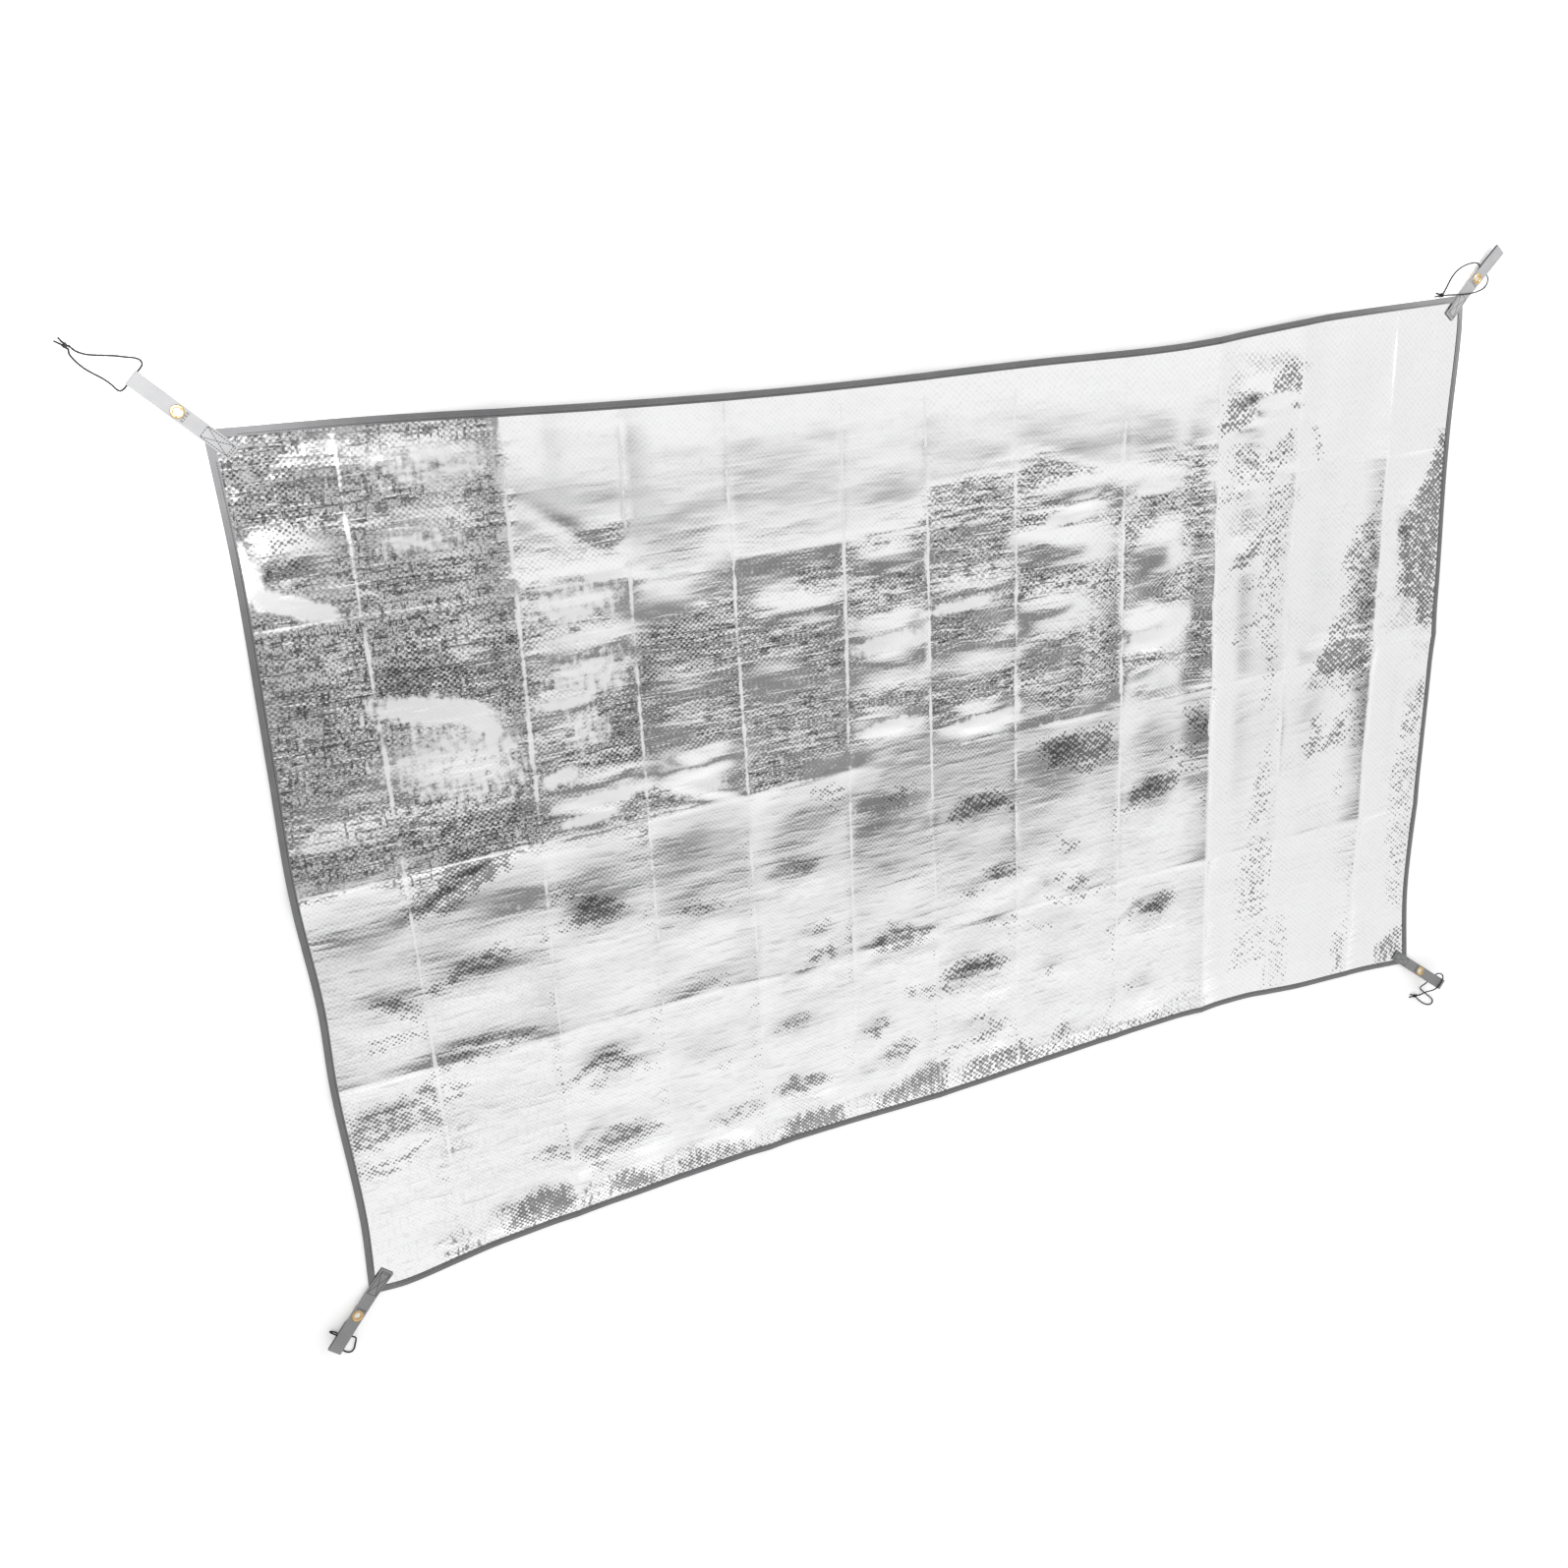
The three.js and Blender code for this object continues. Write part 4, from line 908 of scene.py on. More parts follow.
def foil_material(colour):
    """Bright foil on a woven sheet: weave and wrinkles, painted shade where it would turn from the light, and
    painted highlights where it would catch it.
    """
    material, nodes, shader = new_material("foil")
    place = nodes.add("TexCoord").outputs["Object"]
    x, y, _ = nodes.split(place)
    rumple, turned, lit = (nodes.measure(name) for name in SHEET_MEASURES)
    strands = nodes.noise(place, 1.0, STRANDS, 1.0)
    speckle = nodes.noise(place, 1.0, SPECKLES, 2.0)
    upright = nodes.noise(place, 1.0, UPRIGHT_SPECKLES, 2.0)
    front = nodes.span(y, *FRONT_STRIP)
    left = nodes.span(x, *LEFT_OF_SMOOTH_PANELS)

    weave = nodes.checks(x, y, WEAVE_PITCHES)
    warp = nodes.times(nodes.noise(place, 38.0, (1, 1, 1), 1.0), COARSE_WARP)
    coarse = nodes.checks(nodes.plus(x, warp), nodes.math("SUBTRACT", y, warp), COARSE_PITCHES)
    mesh = nodes.blend(nodes.span(x, *RIGHT_HALF), weave, coarse)

    height = nodes.plus(
        nodes.times(weave, WEAVE_RISE * MM),
        nodes.times(nodes.noise(place, 1.0, RIPPLES, 1.0), RIPPLE_RISE * MM),
        nodes.times(nodes.span(strands, 0.52, 0.72), STREAK_RISE * MM),
    )
    raise_surface(nodes, shader, nodes.times(height, rumple))

    # Painted shade: the patches, dashes and strokes darken the foil's base colour in place of the dark
    # reflections in its crinkles.
    grain = nodes.plus(nodes.times(mesh, 0.42), nodes.times(nodes.blend(front, speckle, upright), 2.2))
    patches = nodes.times(nodes.span(nodes.plus(turned, grain), 1.5, 2.05), nodes.span(turned, 0.05, 0.25))
    shade_dashes = nodes.times(nodes.span(strands, 0.62, 0.72, 0.0, 0.32), nodes.span(y, *BELOW_BACK_STRIP), left)
    fine = nodes.span(nodes.noise(place, 1.0, FINE_STROKES, 2.0), 0.54, 0.6)
    comb = nodes.span(nodes.noise(place, 1.0, COMB_STROKES, 2.0), 0.55, 0.61)
    combed = nodes.most(front, nodes.span(x, *LEFT_COLUMN))
    shade_strokes = nodes.most(nodes.blend(front, fine, 0.0), nodes.times(comb, combed))
    share = nodes.most(nodes.span(rumple, *RUMPLED_FROM, 0.0, 0.8), nodes.span(y, *FRONT_HALF, 0.0, 0.2))
    dark = nodes.most(patches, shade_dashes, nodes.times(shade_strokes, share, left))

    # Painted shade in the weave: its dots darken the base colour, more where the foil is rumpled.
    weave_shade_dots = nodes.times(
        nodes.span(mesh, -0.35, 0.55),
        nodes.span(rumple, *RUMPLED_FROM, 0.07, 0.42),
        nodes.span(speckle, 0.36, 0.6, 0.45, 1.25),
    )
    bright = nodes.times(nodes.math("SUBTRACT", 1.0, weave_shade_dots), nodes.span(dark, 0.0, 1.0, 1.0, DARKEST_PAINTED_SHADE))
    # Painted highlight: where lit, the base colour goes to near white and the foil gets rougher.
    glint = nodes.span(nodes.plus(lit, nodes.times(rumple, 0.16), speckle, upright), 1.14, 1.66)
    toned = nodes.tone(bright, (0, 0, 0), colour)
    nodes.feed(shader.inputs["Base Color"], nodes.tone(glint, toned, GLINT_COLOUR))
    polish = nodes.span(nodes.noise(place, 5.0), 0.3, 0.7, *FOIL_ROUGHNESS)
    nodes.feed(shader.inputs["Roughness"], nodes.blend(glint, polish, GLINT_ROUGHNESS))
    shader.inputs["Metallic"].default_value = 1.0
    return material


FUZZ_RISE = 0.12
BRASS_RUB_RISE = 0.05
BRAID_GROOVE = 0.25


def ribbed_material(name, colour, rib, line, depth):
    """Woven tape: ribs across it, lines along it, and a little unevenness of tone."""
    material, nodes, shader = new_material(name)
    coords = nodes.add("TexCoord")
    along, across, _ = nodes.split(coords.outputs["UV"])
    weave = nodes.times(nodes.plus(nodes.wave(along, rib), 1.3), nodes.plus(nodes.wave(across, line), 1.3))
    fuzz = nodes.noise(coords.outputs["Object"], 900.0)
    height = nodes.plus(nodes.times(weave, depth * MM), nodes.times(fuzz, FUZZ_RISE * MM))
    raise_surface(nodes, shader, height)
    # Base colour lighter on the raised ribs and darker between them, a painted shade, with uneven tone from
    # the noise.
    wear = nodes.noise(coords.outputs["Object"], 38.0)
    mixed = nodes.plus(nodes.times(weave, 0.09), nodes.times(wear, 0.6))
    nodes.feed(shader.inputs["Base Color"], nodes.tone(mixed, shade(colour, 0.72), shade(colour, 1.25)))
    nodes.feed(shader.inputs["Roughness"], nodes.span(fuzz, 0.3, 0.7, 0.72, 0.9))
    shader.inputs["Sheen Weight"].default_value = 0.15
    return material


def brass_material(colour):
    """Pale brass, rubbed unevenly."""
    material, nodes, shader = new_material("pale_brass")
    place = nodes.add("TexCoord").outputs["Object"]
    rub = nodes.noise(place, 260.0, (1, 1, 1), 4.0)
    nodes.feed(shader.inputs["Base Color"], nodes.tone(rub, shade(colour, 0.72), colour))
    nodes.feed(shader.inputs["Roughness"], nodes.span(rub, 0.3, 0.7, 0.18, 0.36))
    raise_surface(nodes, shader, nodes.times(rub, BRASS_RUB_RISE * MM))
    shader.inputs["Metallic"].default_value = 1.0
    return material


def braid_material(name, colour, scale):
    """Braided or twisted thread, its strands as small cells."""
    material, nodes, shader = new_material(name)
    place = nodes.add("TexCoord").outputs["Object"]
    cells = nodes.add("TexVoronoi", feature="F1")
    nodes.feed(cells.inputs["Vector"], place)
    cells.inputs["Scale"].default_value = scale
    strands = cells.outputs["Distance"]
    # Painted highlight and painted shade: each strand is lighter in its middle and darker at its edges, where
    # the bump sinks it.
    nodes.feed(shader.inputs["Base Color"], nodes.tone(strands, shade(colour, 1.5), shade(colour, 0.5)))
    raise_surface(nodes, shader, nodes.times(strands, -BRAID_GROOVE * MM))
    nodes.feed(shader.inputs["Roughness"], nodes.span(strands, 0.0, 0.7, 0.62, 0.85))
    return material


def floor_material(colour):
    """Plain pale floor, with a little light of its own so that it stays white."""
    material, nodes, shader = new_material("pale_floor")
    place = nodes.add("TexCoord").outputs["Object"]
    nodes.feed(shader.inputs["Base Color"], nodes.tone(nodes.noise(place, 3.0), shade(colour, 0.985), colour))
    shader.inputs["Roughness"].default_value = 0.95
    shader.inputs["Specular IOR Level"].default_value = 0.0
    shader.inputs["Emission Color"].default_value = (1, 1, 1, 1)
    shader.inputs["Emission Strength"].default_value = FLOOR_GLOW
    return material


def studio_world(level):
    """Soft white studio: dim panels overhead, a bank of light to the front, soft patches low in the room."""
    world = bpy.data.worlds.new("soft_studio")
    bpy.context.scene.world = world
    world.use_nodes = True
    nodes = Nodes(world.node_tree)
    direction = nodes.add("TexCoord").outputs["Generated"]
    to_east, to_north, upwards = nodes.split(direction)
    up = nodes.most(upwards, 0.02)
    east = nodes.math("DIVIDE", to_east, up)
    north = nodes.math("DIVIDE", to_north, up)

    def window(value, low, high, soft):
        rise = nodes.span(value, low - soft, low + soft)
        return nodes.times(rise, nodes.span(value, high + soft, high - soft))

    panels = [
        nodes.times(window(east, west, east_end, soft), window(north, south, north_end, soft), depth)
        for west, east_end, south, north_end, soft, depth in DIM_PANELS
    ]
    opening = nodes.times(nodes.most(*panels), PANEL_DEPTH)
    sides = [nodes.span(north, *side) for side in BANK_NORTH]
    sides += [nodes.span(east, *side) for side in BANK_EAST]
    bank = nodes.times(*sides)
    flat = nodes.math("SQRT", nodes.plus(nodes.times(east, east), nodes.times(north, north)))
    around = nodes.most(
        nodes.span(flat, *ROOM_FROM_MIDDLE), nodes.span(north, *ROOM_NORTH), nodes.span(east, *ROOM_WEST),
    )
    around = nodes.times(around, nodes.span(flat, *ROOM_END))
    room = nodes.span(nodes.noise(direction, 1.0, ROOM_GRAIN, 1.0), *ROOM_CONTRAST, *ROOM_LEVELS)
    light = nodes.times(
        nodes.plus(1.0, nodes.times(bank, BANK_GAIN)),
        nodes.math("SUBTRACT", 1.0, opening),
        nodes.blend(around, 1.0, room),
        level,
    )
    background = world.node_tree.nodes["Background"]
    background.inputs["Color"].default_value = (1, 1, 1, 1)
    nodes.feed(background.inputs["Strength"], light)


def strap_run(pitch):
    """Webbing's run in side view: outwards from the corner of the mat and up from the sheet's face."""
    bend = Vector((0.0, STRAP_LEVEL))
    turn = Matrix.Rotation(pitch, 2)
    fold_radius = (STRAP_LEVEL - HEM_LEVEL) / 2
    points = [Vector((STRAP_HEM - STRAP_SEWN, HEM_LEVEL))]
    for i in range(9):
        angle = math.radians(lerp(-90, -270, i / 8))
        points.append(Vector((
            fold_radius - STRAP_SEWN + fold_radius * math.cos(angle),
            HEM_LEVEL + fold_radius + fold_radius * math.sin(angle),
        )))
    points.append(bend.copy())
    free = [Vector((EYELET_OUT, 0.0))]
    for i in range(13):
        angle = math.radians(lerp(90, -90, i / 12))
        free.append(Vector((
            TUNNEL_OUT + TUNNEL_RADIUS * math.cos(angle),
            TUNNEL_RADIUS * math.sin(angle) - TUNNEL_RADIUS,
        )))
    free.append(Vector((TUNNEL_SPREAD, -2 * TUNNEL_RADIUS)))
    free.append(Vector((TUNNEL_START, -LAYER_PITCH)))
    free.append(Vector((FOLD_BACK_END, -LAYER_PITCH)))
    return points + [turn @ point + bend for point in free]


def measured(points):
    """Distance of each point along its line."""
    total = [0.0]
    for a, b in zip(points, points[1:]):
        total.append(total[-1] + (b - a).length)
    return total


def sample(points, distances, at):
    """Point of a line at a distance along it."""
    k = 0
    while k < len(points) - 2 and at > distances[k + 1]:
        k += 1
    span = distances[k + 1] - distances[k]
    return points[k].lerp(points[k + 1], min(max((at - distances[k]) / span, 0.0), 1.0))


def corner_matrix(corner):
    """Frame of one corner: X along its strap, Z up from the sheet's face."""
    place = Vector((corner["x"] * LENGTH / 2, corner["y"] * WIDTH / 2, RIM + SHEET))
    return Matrix.Translation(place) @ Matrix.Rotation(math.radians(corner["heading"]), 4, "Z")


def bezier_through(points, curve, radius):
    """Adds one smooth open spline through the points, with the same course as the solid cord."""
    spline = curve.splines.new("BEZIER")
    spline.bezier_points.add(len(points) - 1)
    ends = [2 * points[0] - points[1], *points, 2 * points[-1] - points[-2]]
    for i, knot in enumerate(spline.bezier_points):
        before, here, after = ends[i], ends[i + 1], ends[i + 2]
        d1, d2 = math.sqrt((here - before).length), math.sqrt((after - here).length)
        tangent = (here - before) / d1 - (after - before) / (d1 + d2) + (after - here) / d2
        knot.co = here
        knot.handle_left_type = knot.handle_right_type = "FREE"
        knot.handle_left = here - tangent * d1 / 3
        knot.handle_right = here + tangent * d2 / 3
    curve.dimensions = "3D"
    curve.bevel_depth = radius
    curve.bevel_resolution = 3
    curve.resolution_u = 5
    curve.use_fill_caps = True
    return spline


class GroundMatSizes(bpy.types.PropertyGroup):
    binding_width: FloatProperty(
        name="Binding width", description="Tape seen on each face", default=0.0105, unit="LENGTH",
    )
    strap_width: FloatProperty(
        name="Strap width", description="Width of the corner webbing", default=0.02, unit="LENGTH",
    )
    cord_diameter: FloatProperty(
        name="Cord diameter", description="Thickness of the cord loops", default=0.0024, unit="LENGTH",
    )
    stitch_pitch: FloatProperty(
        name="Stitch pitch", description="Distance from stitch to stitch", default=0.0034, unit="LENGTH",
    )
    light: FloatProperty(
        name="Light", description="Level of the studio light", default=1.0, min=0.0,
    )


class GroundMatColours(bpy.types.PropertyGroup):
    foil: FloatVectorProperty(
        name="Foil", description="Colour of the foil face", subtype="COLOR", default=(0.928, 0.928, 0.93),
    )
    binding: FloatVectorProperty(
        name="Binding", description="Colour of the edge tape", subtype="COLOR", default=(0.205, 0.205, 0.21),
    )
    webbing: FloatVectorProperty(
        name="Webbing", description="Colour of the corner straps", subtype="COLOR", default=(0.3, 0.3, 0.305),
    )
    thread: FloatVectorProperty(
        name="Thread", description="Colour of the stitching", subtype="COLOR", default=(0.04, 0.04, 0.043),
    )
    brass: FloatVectorProperty(
        name="Brass", description="Colour of the eyelets", subtype="COLOR", default=(0.8, 0.56, 0.26),
    )
    cord: FloatVectorProperty(
        name="Cord", description="Colour of the cord loops", subtype="COLOR", default=(0.018, 0.018, 0.02),
    )
    floor: FloatVectorProperty(
        name="Floor", description="Colour of the floor", subtype="COLOR", default=(0.96, 0.96, 0.96),
    )


class MatStage(bpy.types.Operator):
    """Camera of the photograph, soft studio light and pale floor"""

    bl_idname = "ground_mat.stage"
    bl_label = "Stage"

    def execute(self, context):
        scene = context.scene
        view = bpy.data.cameras.new("camera")
        view.lens = CAMERA_LENS
        view.sensor_width = CAMERA_SENSOR
        view.clip_end = CAMERA_REACH
        camera = bpy.data.objects.new("camera", view)
        scene.collection.objects.link(camera)
        right, up = Vector(CAMERA_RIGHT), Vector(CAMERA_UP)
        turn = Matrix((right, up, right.cross(up))).transposed()
        camera.matrix_world = Matrix.Translation(CAMERA_PLACE) @ turn.to_4x4()
        scene.camera = camera
        scene.view_settings.view_transform = "Standard"
        studio_world(scene.ground_mat_sizes.light)
        for index, (place, aim, power) in enumerate(CORNER_LAMPS):
            lamp = bpy.data.lights.new(f"corner_lamp_{index}", "SPOT")
            lamp.energy = power * scene.ground_mat_sizes.light
            lamp.spot_size = LAMP_CONE
            lamp.spot_blend = 1.0
            lamp.shadow_soft_size = LAMP_RADIUS
            holder = bpy.data.objects.new(lamp.name, lamp)
            scene.collection.objects.link(holder)
            holder.location = place
            holder.rotation_euler = (Vector(aim) - Vector(place)).to_track_quat("-Z", "Y").to_euler()
        shape = bmesh.new()
        bmesh.ops.create_grid(shape, x_segments=2, y_segments=2, size=FLOOR_HALF)
        mesh = bpy.data.meshes.new("floor")
        shape.to_mesh(mesh)
        shape.free()
        new_object("floor", mesh, floor_material(scene.ground_mat_colours.floor))
        return {"FINISHED"}


class MatCords(bpy.types.Operator):
    """Cord loops through the straps, each closed by its knot"""

    bl_idname = "ground_mat.cords"
    bl_label = "Cord loops"

    def execute(self, context):
        diameter = context.scene.ground_mat_sizes.cord_diameter
        material = braid_material("dark_braid", context.scene.ground_mat_colours.cord, 1500.0)
        for name, corner in CORNERS.items():
            route = [Vector(point) for point in CORD_ROUTES[name]]
            line = bpy.data.curves.new("cord_loop_" + name, "CURVE")
            spline = bezier_through(route, line, diameter / 2)
            cord = settle(new_object(line.name, line, material), "cord", "cord_" + name)
            tie = bpy.data.curves.new("tied_knot_" + name, "CURVE")
            turn = Matrix.Rotation(math.radians(corner["ends"]), 4, "Z")
            for strand in KNOT_STRANDS:
                points = [(turn @ Vector(point) + Vector(corner["knot"])) * MM for point in strand]
                bezier_through(points, tie, diameter / 2)
            knot = settle(new_object(tie.name, tie, material), "cord", "knot_" + name)
        return {"FINISHED"}


SHEET_COLUMNS = 264
SHEET_ROWS = 172
ON_A_FOLD = 0.004
CRACK_AND_HIGHLIGHT_FADE = (640, 520)


class MatSheet(bpy.types.Operator):
    """Foil-faced sheet with its packing folds, puffs and creases"""

    bl_idname = "ground_mat.sheet"
    bl_label = "Foil sheet"

    def execute(self, context):
        panels, bands = len(FOLDS) + 1, len(LONG_FOLDS) + 1

        def gather(share, parts):
            """Place among the fold lines, with the points drawn together towards each fold."""
            place = share * parts
            k = min(math.floor(place), parts - 1)
            t = place - k
            return k + 0.5 * t + 0.25 * (1 - math.cos(math.pi * t))

        def place(u, v):
            column, row = gather(u, panels), gather(v, bands)
            level = between(line_y, row, 0.0)
            x = between(line_x, column, level)
            y = between(line_y, row, x)
            x = min(max(x, edge_left(y) + RIM), edge_right(y) - RIM)
            y = min(max(y, edge_bottom(x) + RIM), edge_top(x) - RIM)
            rumple = rumple_at(x, y)
            point = Vector((x, y, sheet_face(x, y, column, row, rumple))) * MM
            # The painted highlight, with rougher foil, and the painted shade go to the mesh for the foil's
            # material.
            lit = max(painted_highlight_at(x, y), crack_and_highlight(x, y, column, row))
            return point, (point.x, point.y, rumple, painted_shade_at(x, y, rumple), lit)

        def crack_and_highlight(x, y, column, row):
            """How far a packing fold cracks the foil, with rougher foil and painted highlight, coming and
            going along it.
            """
            if abs(column - round(column)) < ON_A_FOLD and 0 < round(column) < panels:
                along = 0.56 + 0.8 * uneven(round(column) * 3.7, y, 1, 55, 1.9)
                return along * smoothstep(abs(y), *CRACK_AND_HIGHLIGHT_FADE)
            if abs(row - round(row)) < ON_A_FOLD and 0 < round(row) < bands:
                return 0.35 + 0.8 * uneven(x, round(row) * 3.7, 70, 1, 1.9)
            return 0.0

        mesh = cloth_grid("foil_sheet", SHEET_COLUMNS, SHEET_ROWS, place, measures=SHEET_MEASURES)
        sheet = new_object("foil_sheet", mesh, foil_material(context.scene.ground_mat_colours.foil))
        thicken(sheet, SHEET - 0.1, -1.0)
        settle(sheet, "foil", "mat_sheet")
        return {"FINISHED"}


TAPE_ROWS = 18
TAPE_COLUMN = 6.5
TAPE_BULGE = 0.22
STITCH_INSET = 8.2


def tape_section(share, width):
    """Point of the folded tape's middle: inset from the edge and height over the sheet's underside."""
    radius = (SHEET + 2 * GAP + TAPE) / 2
    flat = width - radius - TAPE / 2
    bend = math.pi * radius
    at = share * (2 * flat + bend)
    middle = SHEET / 2
    if at < flat:
        bulge = TAPE_BULGE * math.sin(math.pi * at / flat)
        return width - at, middle + radius + bulge
    if at < flat + bend:
        angle = math.pi / 2 + (at - flat) / radius
        return radius + TAPE / 2 + radius * math.cos(angle), middle + radius * math.sin(angle)
    return radius + TAPE / 2 + (at - flat - bend), middle - radius


def edge_run(name):
    """Length of an edge, its point at a distance along it, and its inward direction."""
    if name in ("front", "back"):
        edge = edge_bottom if name == "front" else edge_top
        inward = Vector((0, 1, 0)) if name == "front" else Vector((0, -1, 0))
        return LENGTH, lambda t: Vector((t - LENGTH / 2, edge(t - LENGTH / 2), 0)), inward
    edge = edge_left if name == "left" else edge_right
    inward = Vector((1, 0, 0)) if name == "left" else Vector((-1, 0, 0))
    return WIDTH, lambda t: Vector((edge(t - WIDTH / 2), t - WIDTH / 2, 0)), inward


def tape_point(name, t, inset, height):
    """Point of an edge's tape at a share of its length, drawn in to the mitres at both ends."""
    length, edge_point, inward = edge_run(name)
    along = inset + GAP + t * (length - 2 * (inset + GAP))
    foot = edge_point(along)
    wobble = 0.35 * uneven(along, inset, 55, 30, 7.1 + length / 100)
    foot.z = edge_level(foot.x, foot.y) + height + 0.5 * abs(wobble)
    return foot + inward * (inset + 0.15 * wobble)


class MatBindings(bpy.types.Operator):
    """Tape folded over the four edges"""

    bl_idname = "ground_mat.bindings"
    bl_label = "Edge bindings"

    def execute(self, context):
        width = context.scene.ground_mat_sizes.binding_width / MM
        material = ribbed_material("ribbed_tape", context.scene.ground_mat_colours.binding, 1.5, 3.5, 0.05)
        for name in ("front", "back", "left", "right"):
            length = edge_run(name)[0]
            turned = name in ("front", "right")

            def place(u, v):
                t = 1 - u if turned else u
                inset, height = tape_section(v, width)
                point = tape_point(name, t, inset, height) * MM
                return point, (t * length * MM, v * 2 * width * MM)

            mesh = cloth_grid("edge_tape_" + name, round(length / TAPE_COLUMN), TAPE_ROWS, place)
            tape = new_object(mesh.name, mesh, material)
            thicken(tape, TAPE, 0.0, 0.18)
            settle(tape, "binding", "binding_" + name)
        return {"FINISHED"}


STRAP_COLUMNS = 170
STRAP_ROWS = 16
BEND_SPREAD = 0.9


class MatStraps(bpy.types.Operator):
    """Webbing straps, hemmed at the inner end and folded back at the tip"""

    bl_idname = "ground_mat.straps"
    bl_label = "Corner straps"

    def execute(self, context):
        width = context.scene.ground_mat_sizes.strap_width / MM
        material = ribbed_material("ribbed_webbing", context.scene.ground_mat_colours.webbing, 1.9, 2.6, 0.07)
        for index, (name, corner) in enumerate(CORNERS.items()):
            pitch = math.radians(corner["pitch"])
            run = strap_run(pitch)
            distances = measured(run)
            frame_of = corner_matrix(corner)
            flat = Matrix.Rotation(-pitch, 2)

            def place(u, v):
                at = u * distances[-1]
                near = [sample(run, distances, at + k * BEND_SPREAD) for k in (-1, 0, 1)]
                point = sum(near, Vector((0, 0))) / len(near)
                across = (v - 0.5) * width
                sway = 0.25 * uneven(at, index * 3.1, 24, 1, 0)
                local = flat @ (point - Vector((0, STRAP_LEVEL)))
                spot = frame_of @ Vector((point.x, across + sway, point.y))
                return spot * MM, (at * MM, across * MM, local.x, across)

            def keep(face, spots):
                out = sum(spots[vert][2] for vert in face.verts) / len(face.verts)
                across = sum(spots[vert][3] for vert in face.verts) / len(face.verts)
                return math.hypot(out - EYELET_OUT, across) > HOLE_RADIUS

            mesh = cloth_grid("webbing_strap_" + name, STRAP_COLUMNS, STRAP_ROWS, place, keep)
            strap = new_object(mesh.name, mesh, material)
            thicken(strap, WEBBING, 0.0, 0.25)
            settle(strap, "webbing", "strap_" + name)
        return {"FINISHED"}


EYELET_STEPS = 56
# Half of an eyelet's turned section, from the bore over the flange to the barrel: radius and height.
EYELET_HALF = (
    (4.7, 0.0), (4.7, 1.75), (4.9, 2.15), (5.3, 2.4), (6.0, 2.5), (6.8, 2.42), (7.6, 2.2), (8.15, 1.95),
    (8.3, 1.78), (8.2, 1.66), (5.25, 1.66), (5.2, 1.5), (5.2, 0.0),
)


class MatEyelets(bpy.types.Operator):
    """Rolled brass eyelets through both layers of the straps"""

    bl_idname = "ground_mat.eyelets"
    bl_label = "Eyelets"

    def execute(self, context):
        material = brass_material(context.scene.ground_mat_colours.brass)
        for name, corner in CORNERS.items():
            shape = bmesh.new()
            lower = [(radius, -height) for radius, height in reversed(EYELET_HALF[1:-1])]
            ring = [shape.verts.new((radius, 0, height)) for radius, height in [*EYELET_HALF, *lower]]
            edges = [shape.edges.new((a, b)) for a, b in zip(ring, ring[1:] + ring[:1])]
            bmesh.ops.spin(
                shape, geom=ring + edges, axis=(0, 0, 1), cent=(0, 0, 0), steps=EYELET_STEPS,
                angle=2 * math.pi, use_merge=True,
            )
            bmesh.ops.remove_doubles(shape, verts=shape.verts, dist=0.001)
            bmesh.ops.recalc_face_normals(shape, faces=shape.faces)
            for face in shape.faces:
                face.smooth = True
            tilt = Matrix.Rotation(-math.radians(corner["pitch"]), 4, "Y")
            seat = Matrix.Translation((0, 0, STRAP_LEVEL)) @ tilt
            seat = seat @ Matrix.Translation((EYELET_OUT, 0, -LAYER_PITCH / 2))
            shape.transform(Matrix.Scale(MM, 4) @ corner_matrix(corner) @ seat)
            mesh = bpy.data.meshes.new("brass_eyelet_" + name)
            shape.to_mesh(mesh)
            shape.free()
            settle(new_object(mesh.name, mesh, material), "eyelet", "eyelet_" + name)
        return {"FINISHED"}


# Lines of stitching on a strap's sewn part, in its own frame: (from x, from y, to x, to y).
STRAP_SEAMS = (
    (-41, -7.4, -41, 7.4), (-38.4, -7.4, -38.4, 7.4), (-2.5, -7.4, -2.5, 7.4),
    (-41, -7.4, -2.5, -7.4), (-41, 7.4, -2.5, 7.4),
    (-38.4, -7.4, -2.5, 7.4), (-38.4, 7.4, -2.5, -7.4),
)
TACK_SEAMS = ((22.0, -7.6, 22.0, 7.6), (24.0, -7.6, 24.0, 7.6))
STITCH_HALF_WIDTH = 0.55
STITCH_HALF_HEIGHT = 0.3
STITCH_OVER_STRAP = 0.08
STITCH_OVER_TAPE = 0.06
SEAM_END = 30


def add_stitch(shape, start, end, up, pitch):
    """One raised stitch from start to end, in millimetres."""
    run = end - start
    side = up.cross(run).normalized()
    basis = Matrix((run.normalized(), side, side.cross(run).normalized() * -1)).transposed().to_4x4()
    size = Matrix.Diagonal((0.5 * pitch, STITCH_HALF_WIDTH, STITCH_HALF_HEIGHT, 1))
    place = Matrix.Translation((start + end) / 2) @ basis @ size
    bmesh.ops.create_icosphere(shape, subdivisions=1, radius=1.0, matrix=Matrix.Scale(MM, 4) @ place)


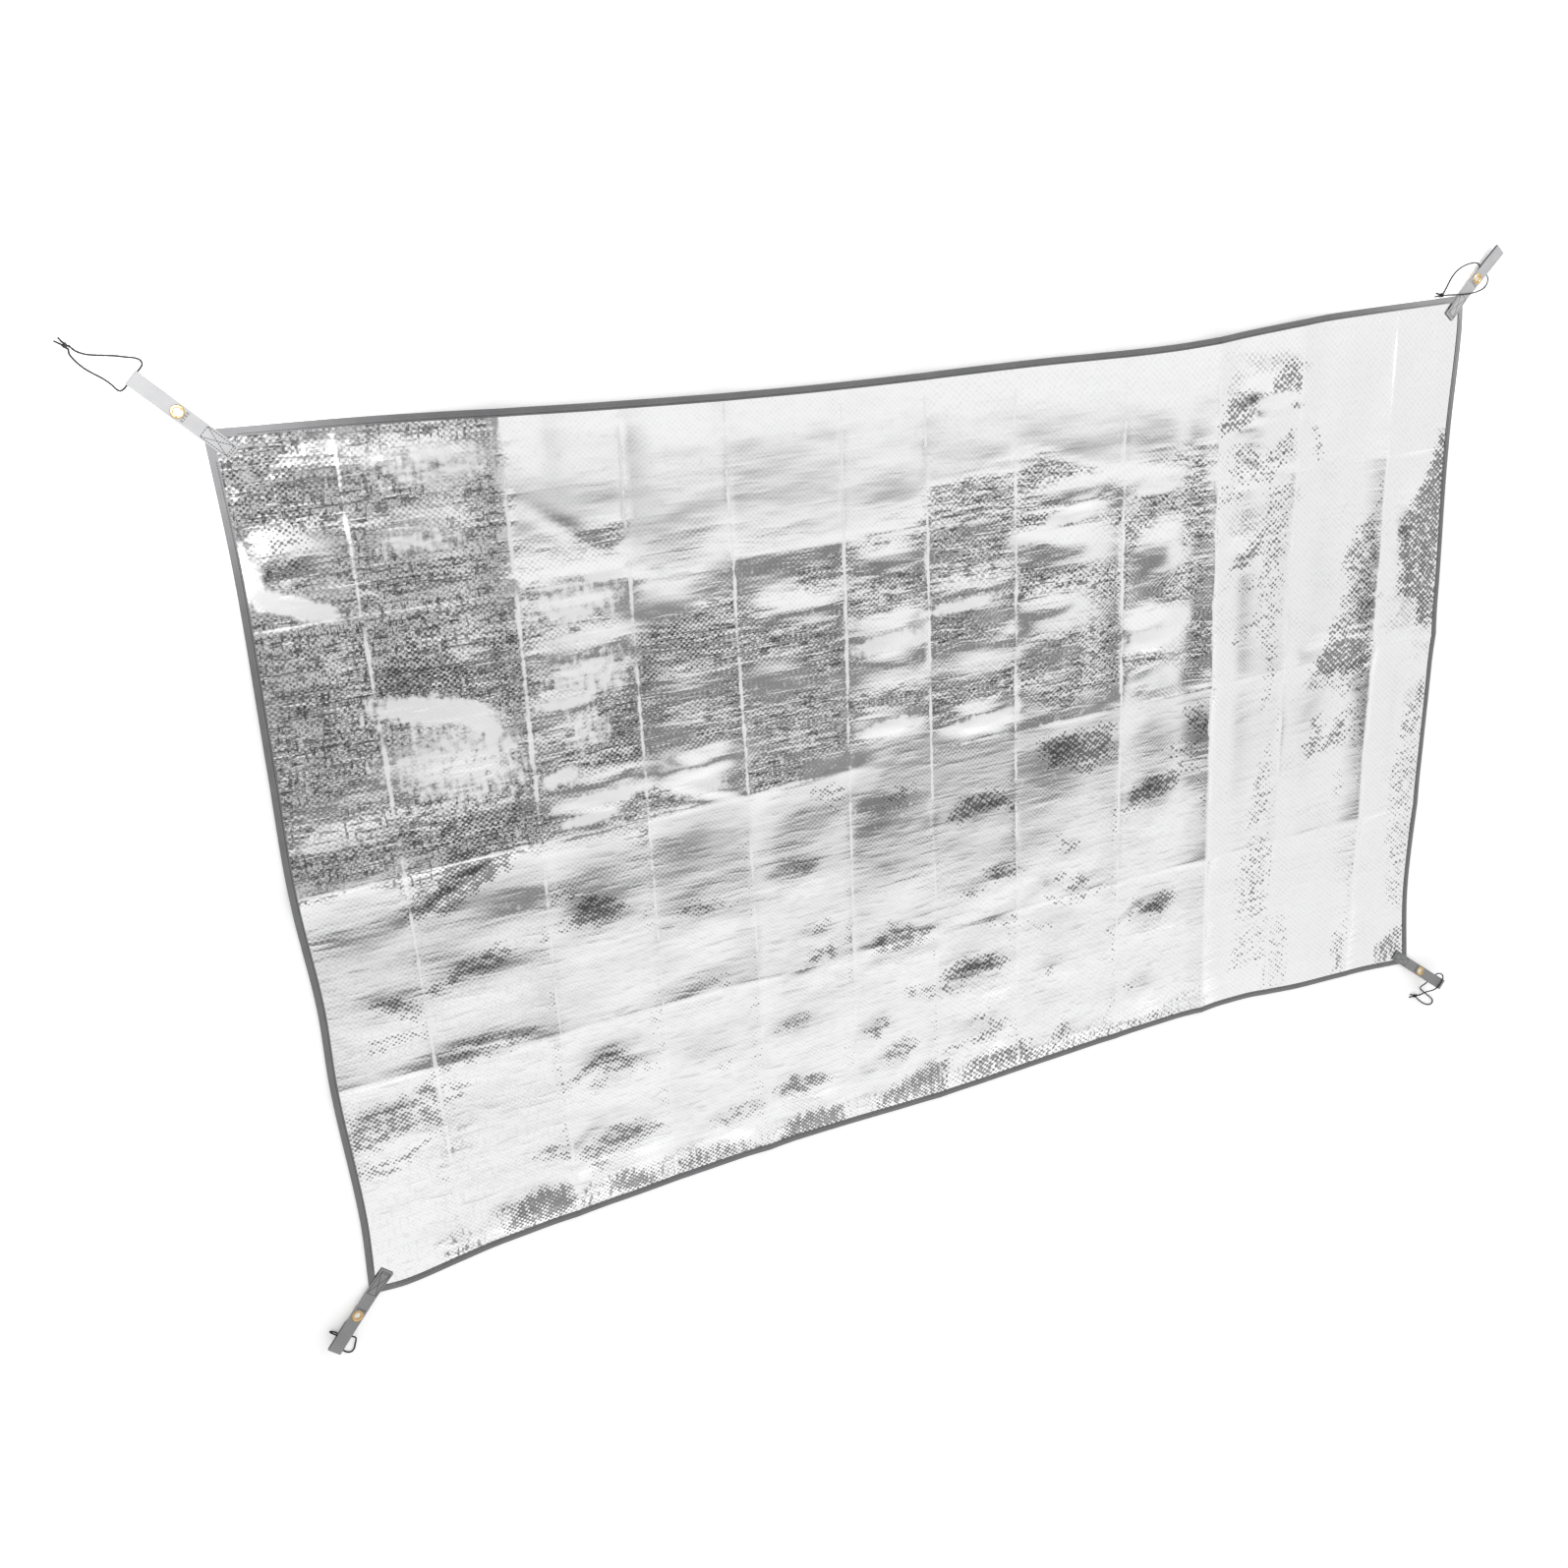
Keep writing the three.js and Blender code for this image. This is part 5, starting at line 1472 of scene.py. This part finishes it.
class MatStitching(bpy.types.Operator):
    """Sewn boxes and crosses on the straps, and the seam along the bindings"""

    bl_idname = "ground_mat.stitching"
    bl_label = "Stitching"

    def execute(self, context):
        pitch = context.scene.ground_mat_sizes.stitch_pitch / MM
        material = braid_material("grey_thread", context.scene.ground_mat_colours.thread, 2200.0)
        over = WEBBING / 2 + STITCH_OVER_STRAP
        top = STRAP_LEVEL + over
        for name, corner in CORNERS.items():
            shape = bmesh.new()
            frame_of = corner_matrix(corner)
            tilt = Matrix.Rotation(-math.radians(corner["pitch"]), 4, "Y")
            rise = Matrix.Translation((0, 0, STRAP_LEVEL)) @ tilt
            runs = [(Vector((a, b, top)), Vector((c, d, top))) for a, b, c, d in STRAP_SEAMS]
            runs += [(rise @ Vector((a, b, over)), rise @ Vector((c, d, over))) for a, b, c, d in TACK_SEAMS]
            for start, end in runs:
                count = max(2, round((end - start).length / pitch))
                spots = [frame_of @ start.lerp(end, i / count) for i in range(count + 1)]
                for a, b in zip(spots, spots[1:]):
                    add_stitch(shape, a, b, Vector((0, 0, 1)), pitch)
            self.finish(shape, "strap_stitching_" + name, material, "webbing")
        for name in ("front", "back", "left", "right"):
            shape = bmesh.new()
            length = edge_run(name)[0]
            seam = length - 2 * SEAM_END
            count = round(seam / pitch)
            level = SHEET + GAP + TAPE + STITCH_OVER_TAPE
            spots = [
                tape_point(name, (SEAM_END + seam * i / count) / length, STITCH_INSET, level)
                for i in range(count + 1)
            ]
            for a, b in zip(spots, spots[1:]):
                add_stitch(shape, a, b, Vector((0, 0, 1)), pitch)
            self.finish(shape, "tape_stitching_" + name, material, "binding")
        return {"FINISHED"}

    def finish(self, shape, name, material, slot):
        for face in shape.faces:
            face.smooth = True
        mesh = bpy.data.meshes.new(name)
        shape.to_mesh(mesh)
        shape.free()
        settle(new_object(name, mesh, material), slot)


class MatCloth(bpy.types.Operator):
    """Step that does nothing to the scene."""

    bl_idname = "ground_mat.cloth"
    bl_label = "Cloth facts"

    def execute(self, context):
        return {"FINISHED"}


class MatPanel(bpy.types.Panel):
    """Sidebar panel of the ground mat"""

    bl_idname = "VIEW3D_PT_ground_mat"
    bl_label = "Ground Mat"
    bl_space_type = "VIEW_3D"
    bl_region_type = "UI"
    bl_category = "Ground Mat"

    def draw(self, context):
        for operator in OPERATORS:
            self.layout.operator(operator.bl_idname)
        for group in (context.scene.ground_mat_sizes, context.scene.ground_mat_colours):
            box = self.layout.box()
            for key in group.__annotations__:
                box.prop(group, key)


OPERATORS = (MatStage, MatCords, MatSheet, MatBindings, MatStraps, MatEyelets, MatStitching, MatCloth)
CLASSES = (GroundMatSizes, GroundMatColours, *OPERATORS, MatPanel)


def register():
    for item in CLASSES:
        bpy.utils.register_class(item)
    bpy.types.Scene.ground_mat_sizes = PointerProperty(type=GroundMatSizes)
    bpy.types.Scene.ground_mat_colours = PointerProperty(type=GroundMatColours)


def unregister():
    del bpy.types.Scene.ground_mat_colours
    del bpy.types.Scene.ground_mat_sizes
    for item in reversed(CLASSES):
        bpy.utils.unregister_class(item)


# Blender's vector noise starts from the clock unless it is seeded.
NOISE_SEED = 1


def main():
    register()
    noise.seed_set(NOISE_SEED)
    bpy.ops.ground_mat.stage()
    bpy.ops.ground_mat.cords()
    bpy.ops.ground_mat.sheet()
    bpy.ops.ground_mat.bindings()
    bpy.ops.ground_mat.straps()
    bpy.ops.ground_mat.eyelets()
    bpy.ops.ground_mat.stitching()
    bpy.ops.ground_mat.cloth()
    bpy.context.view_layer.update()


if __name__ == "__main__":
    main()
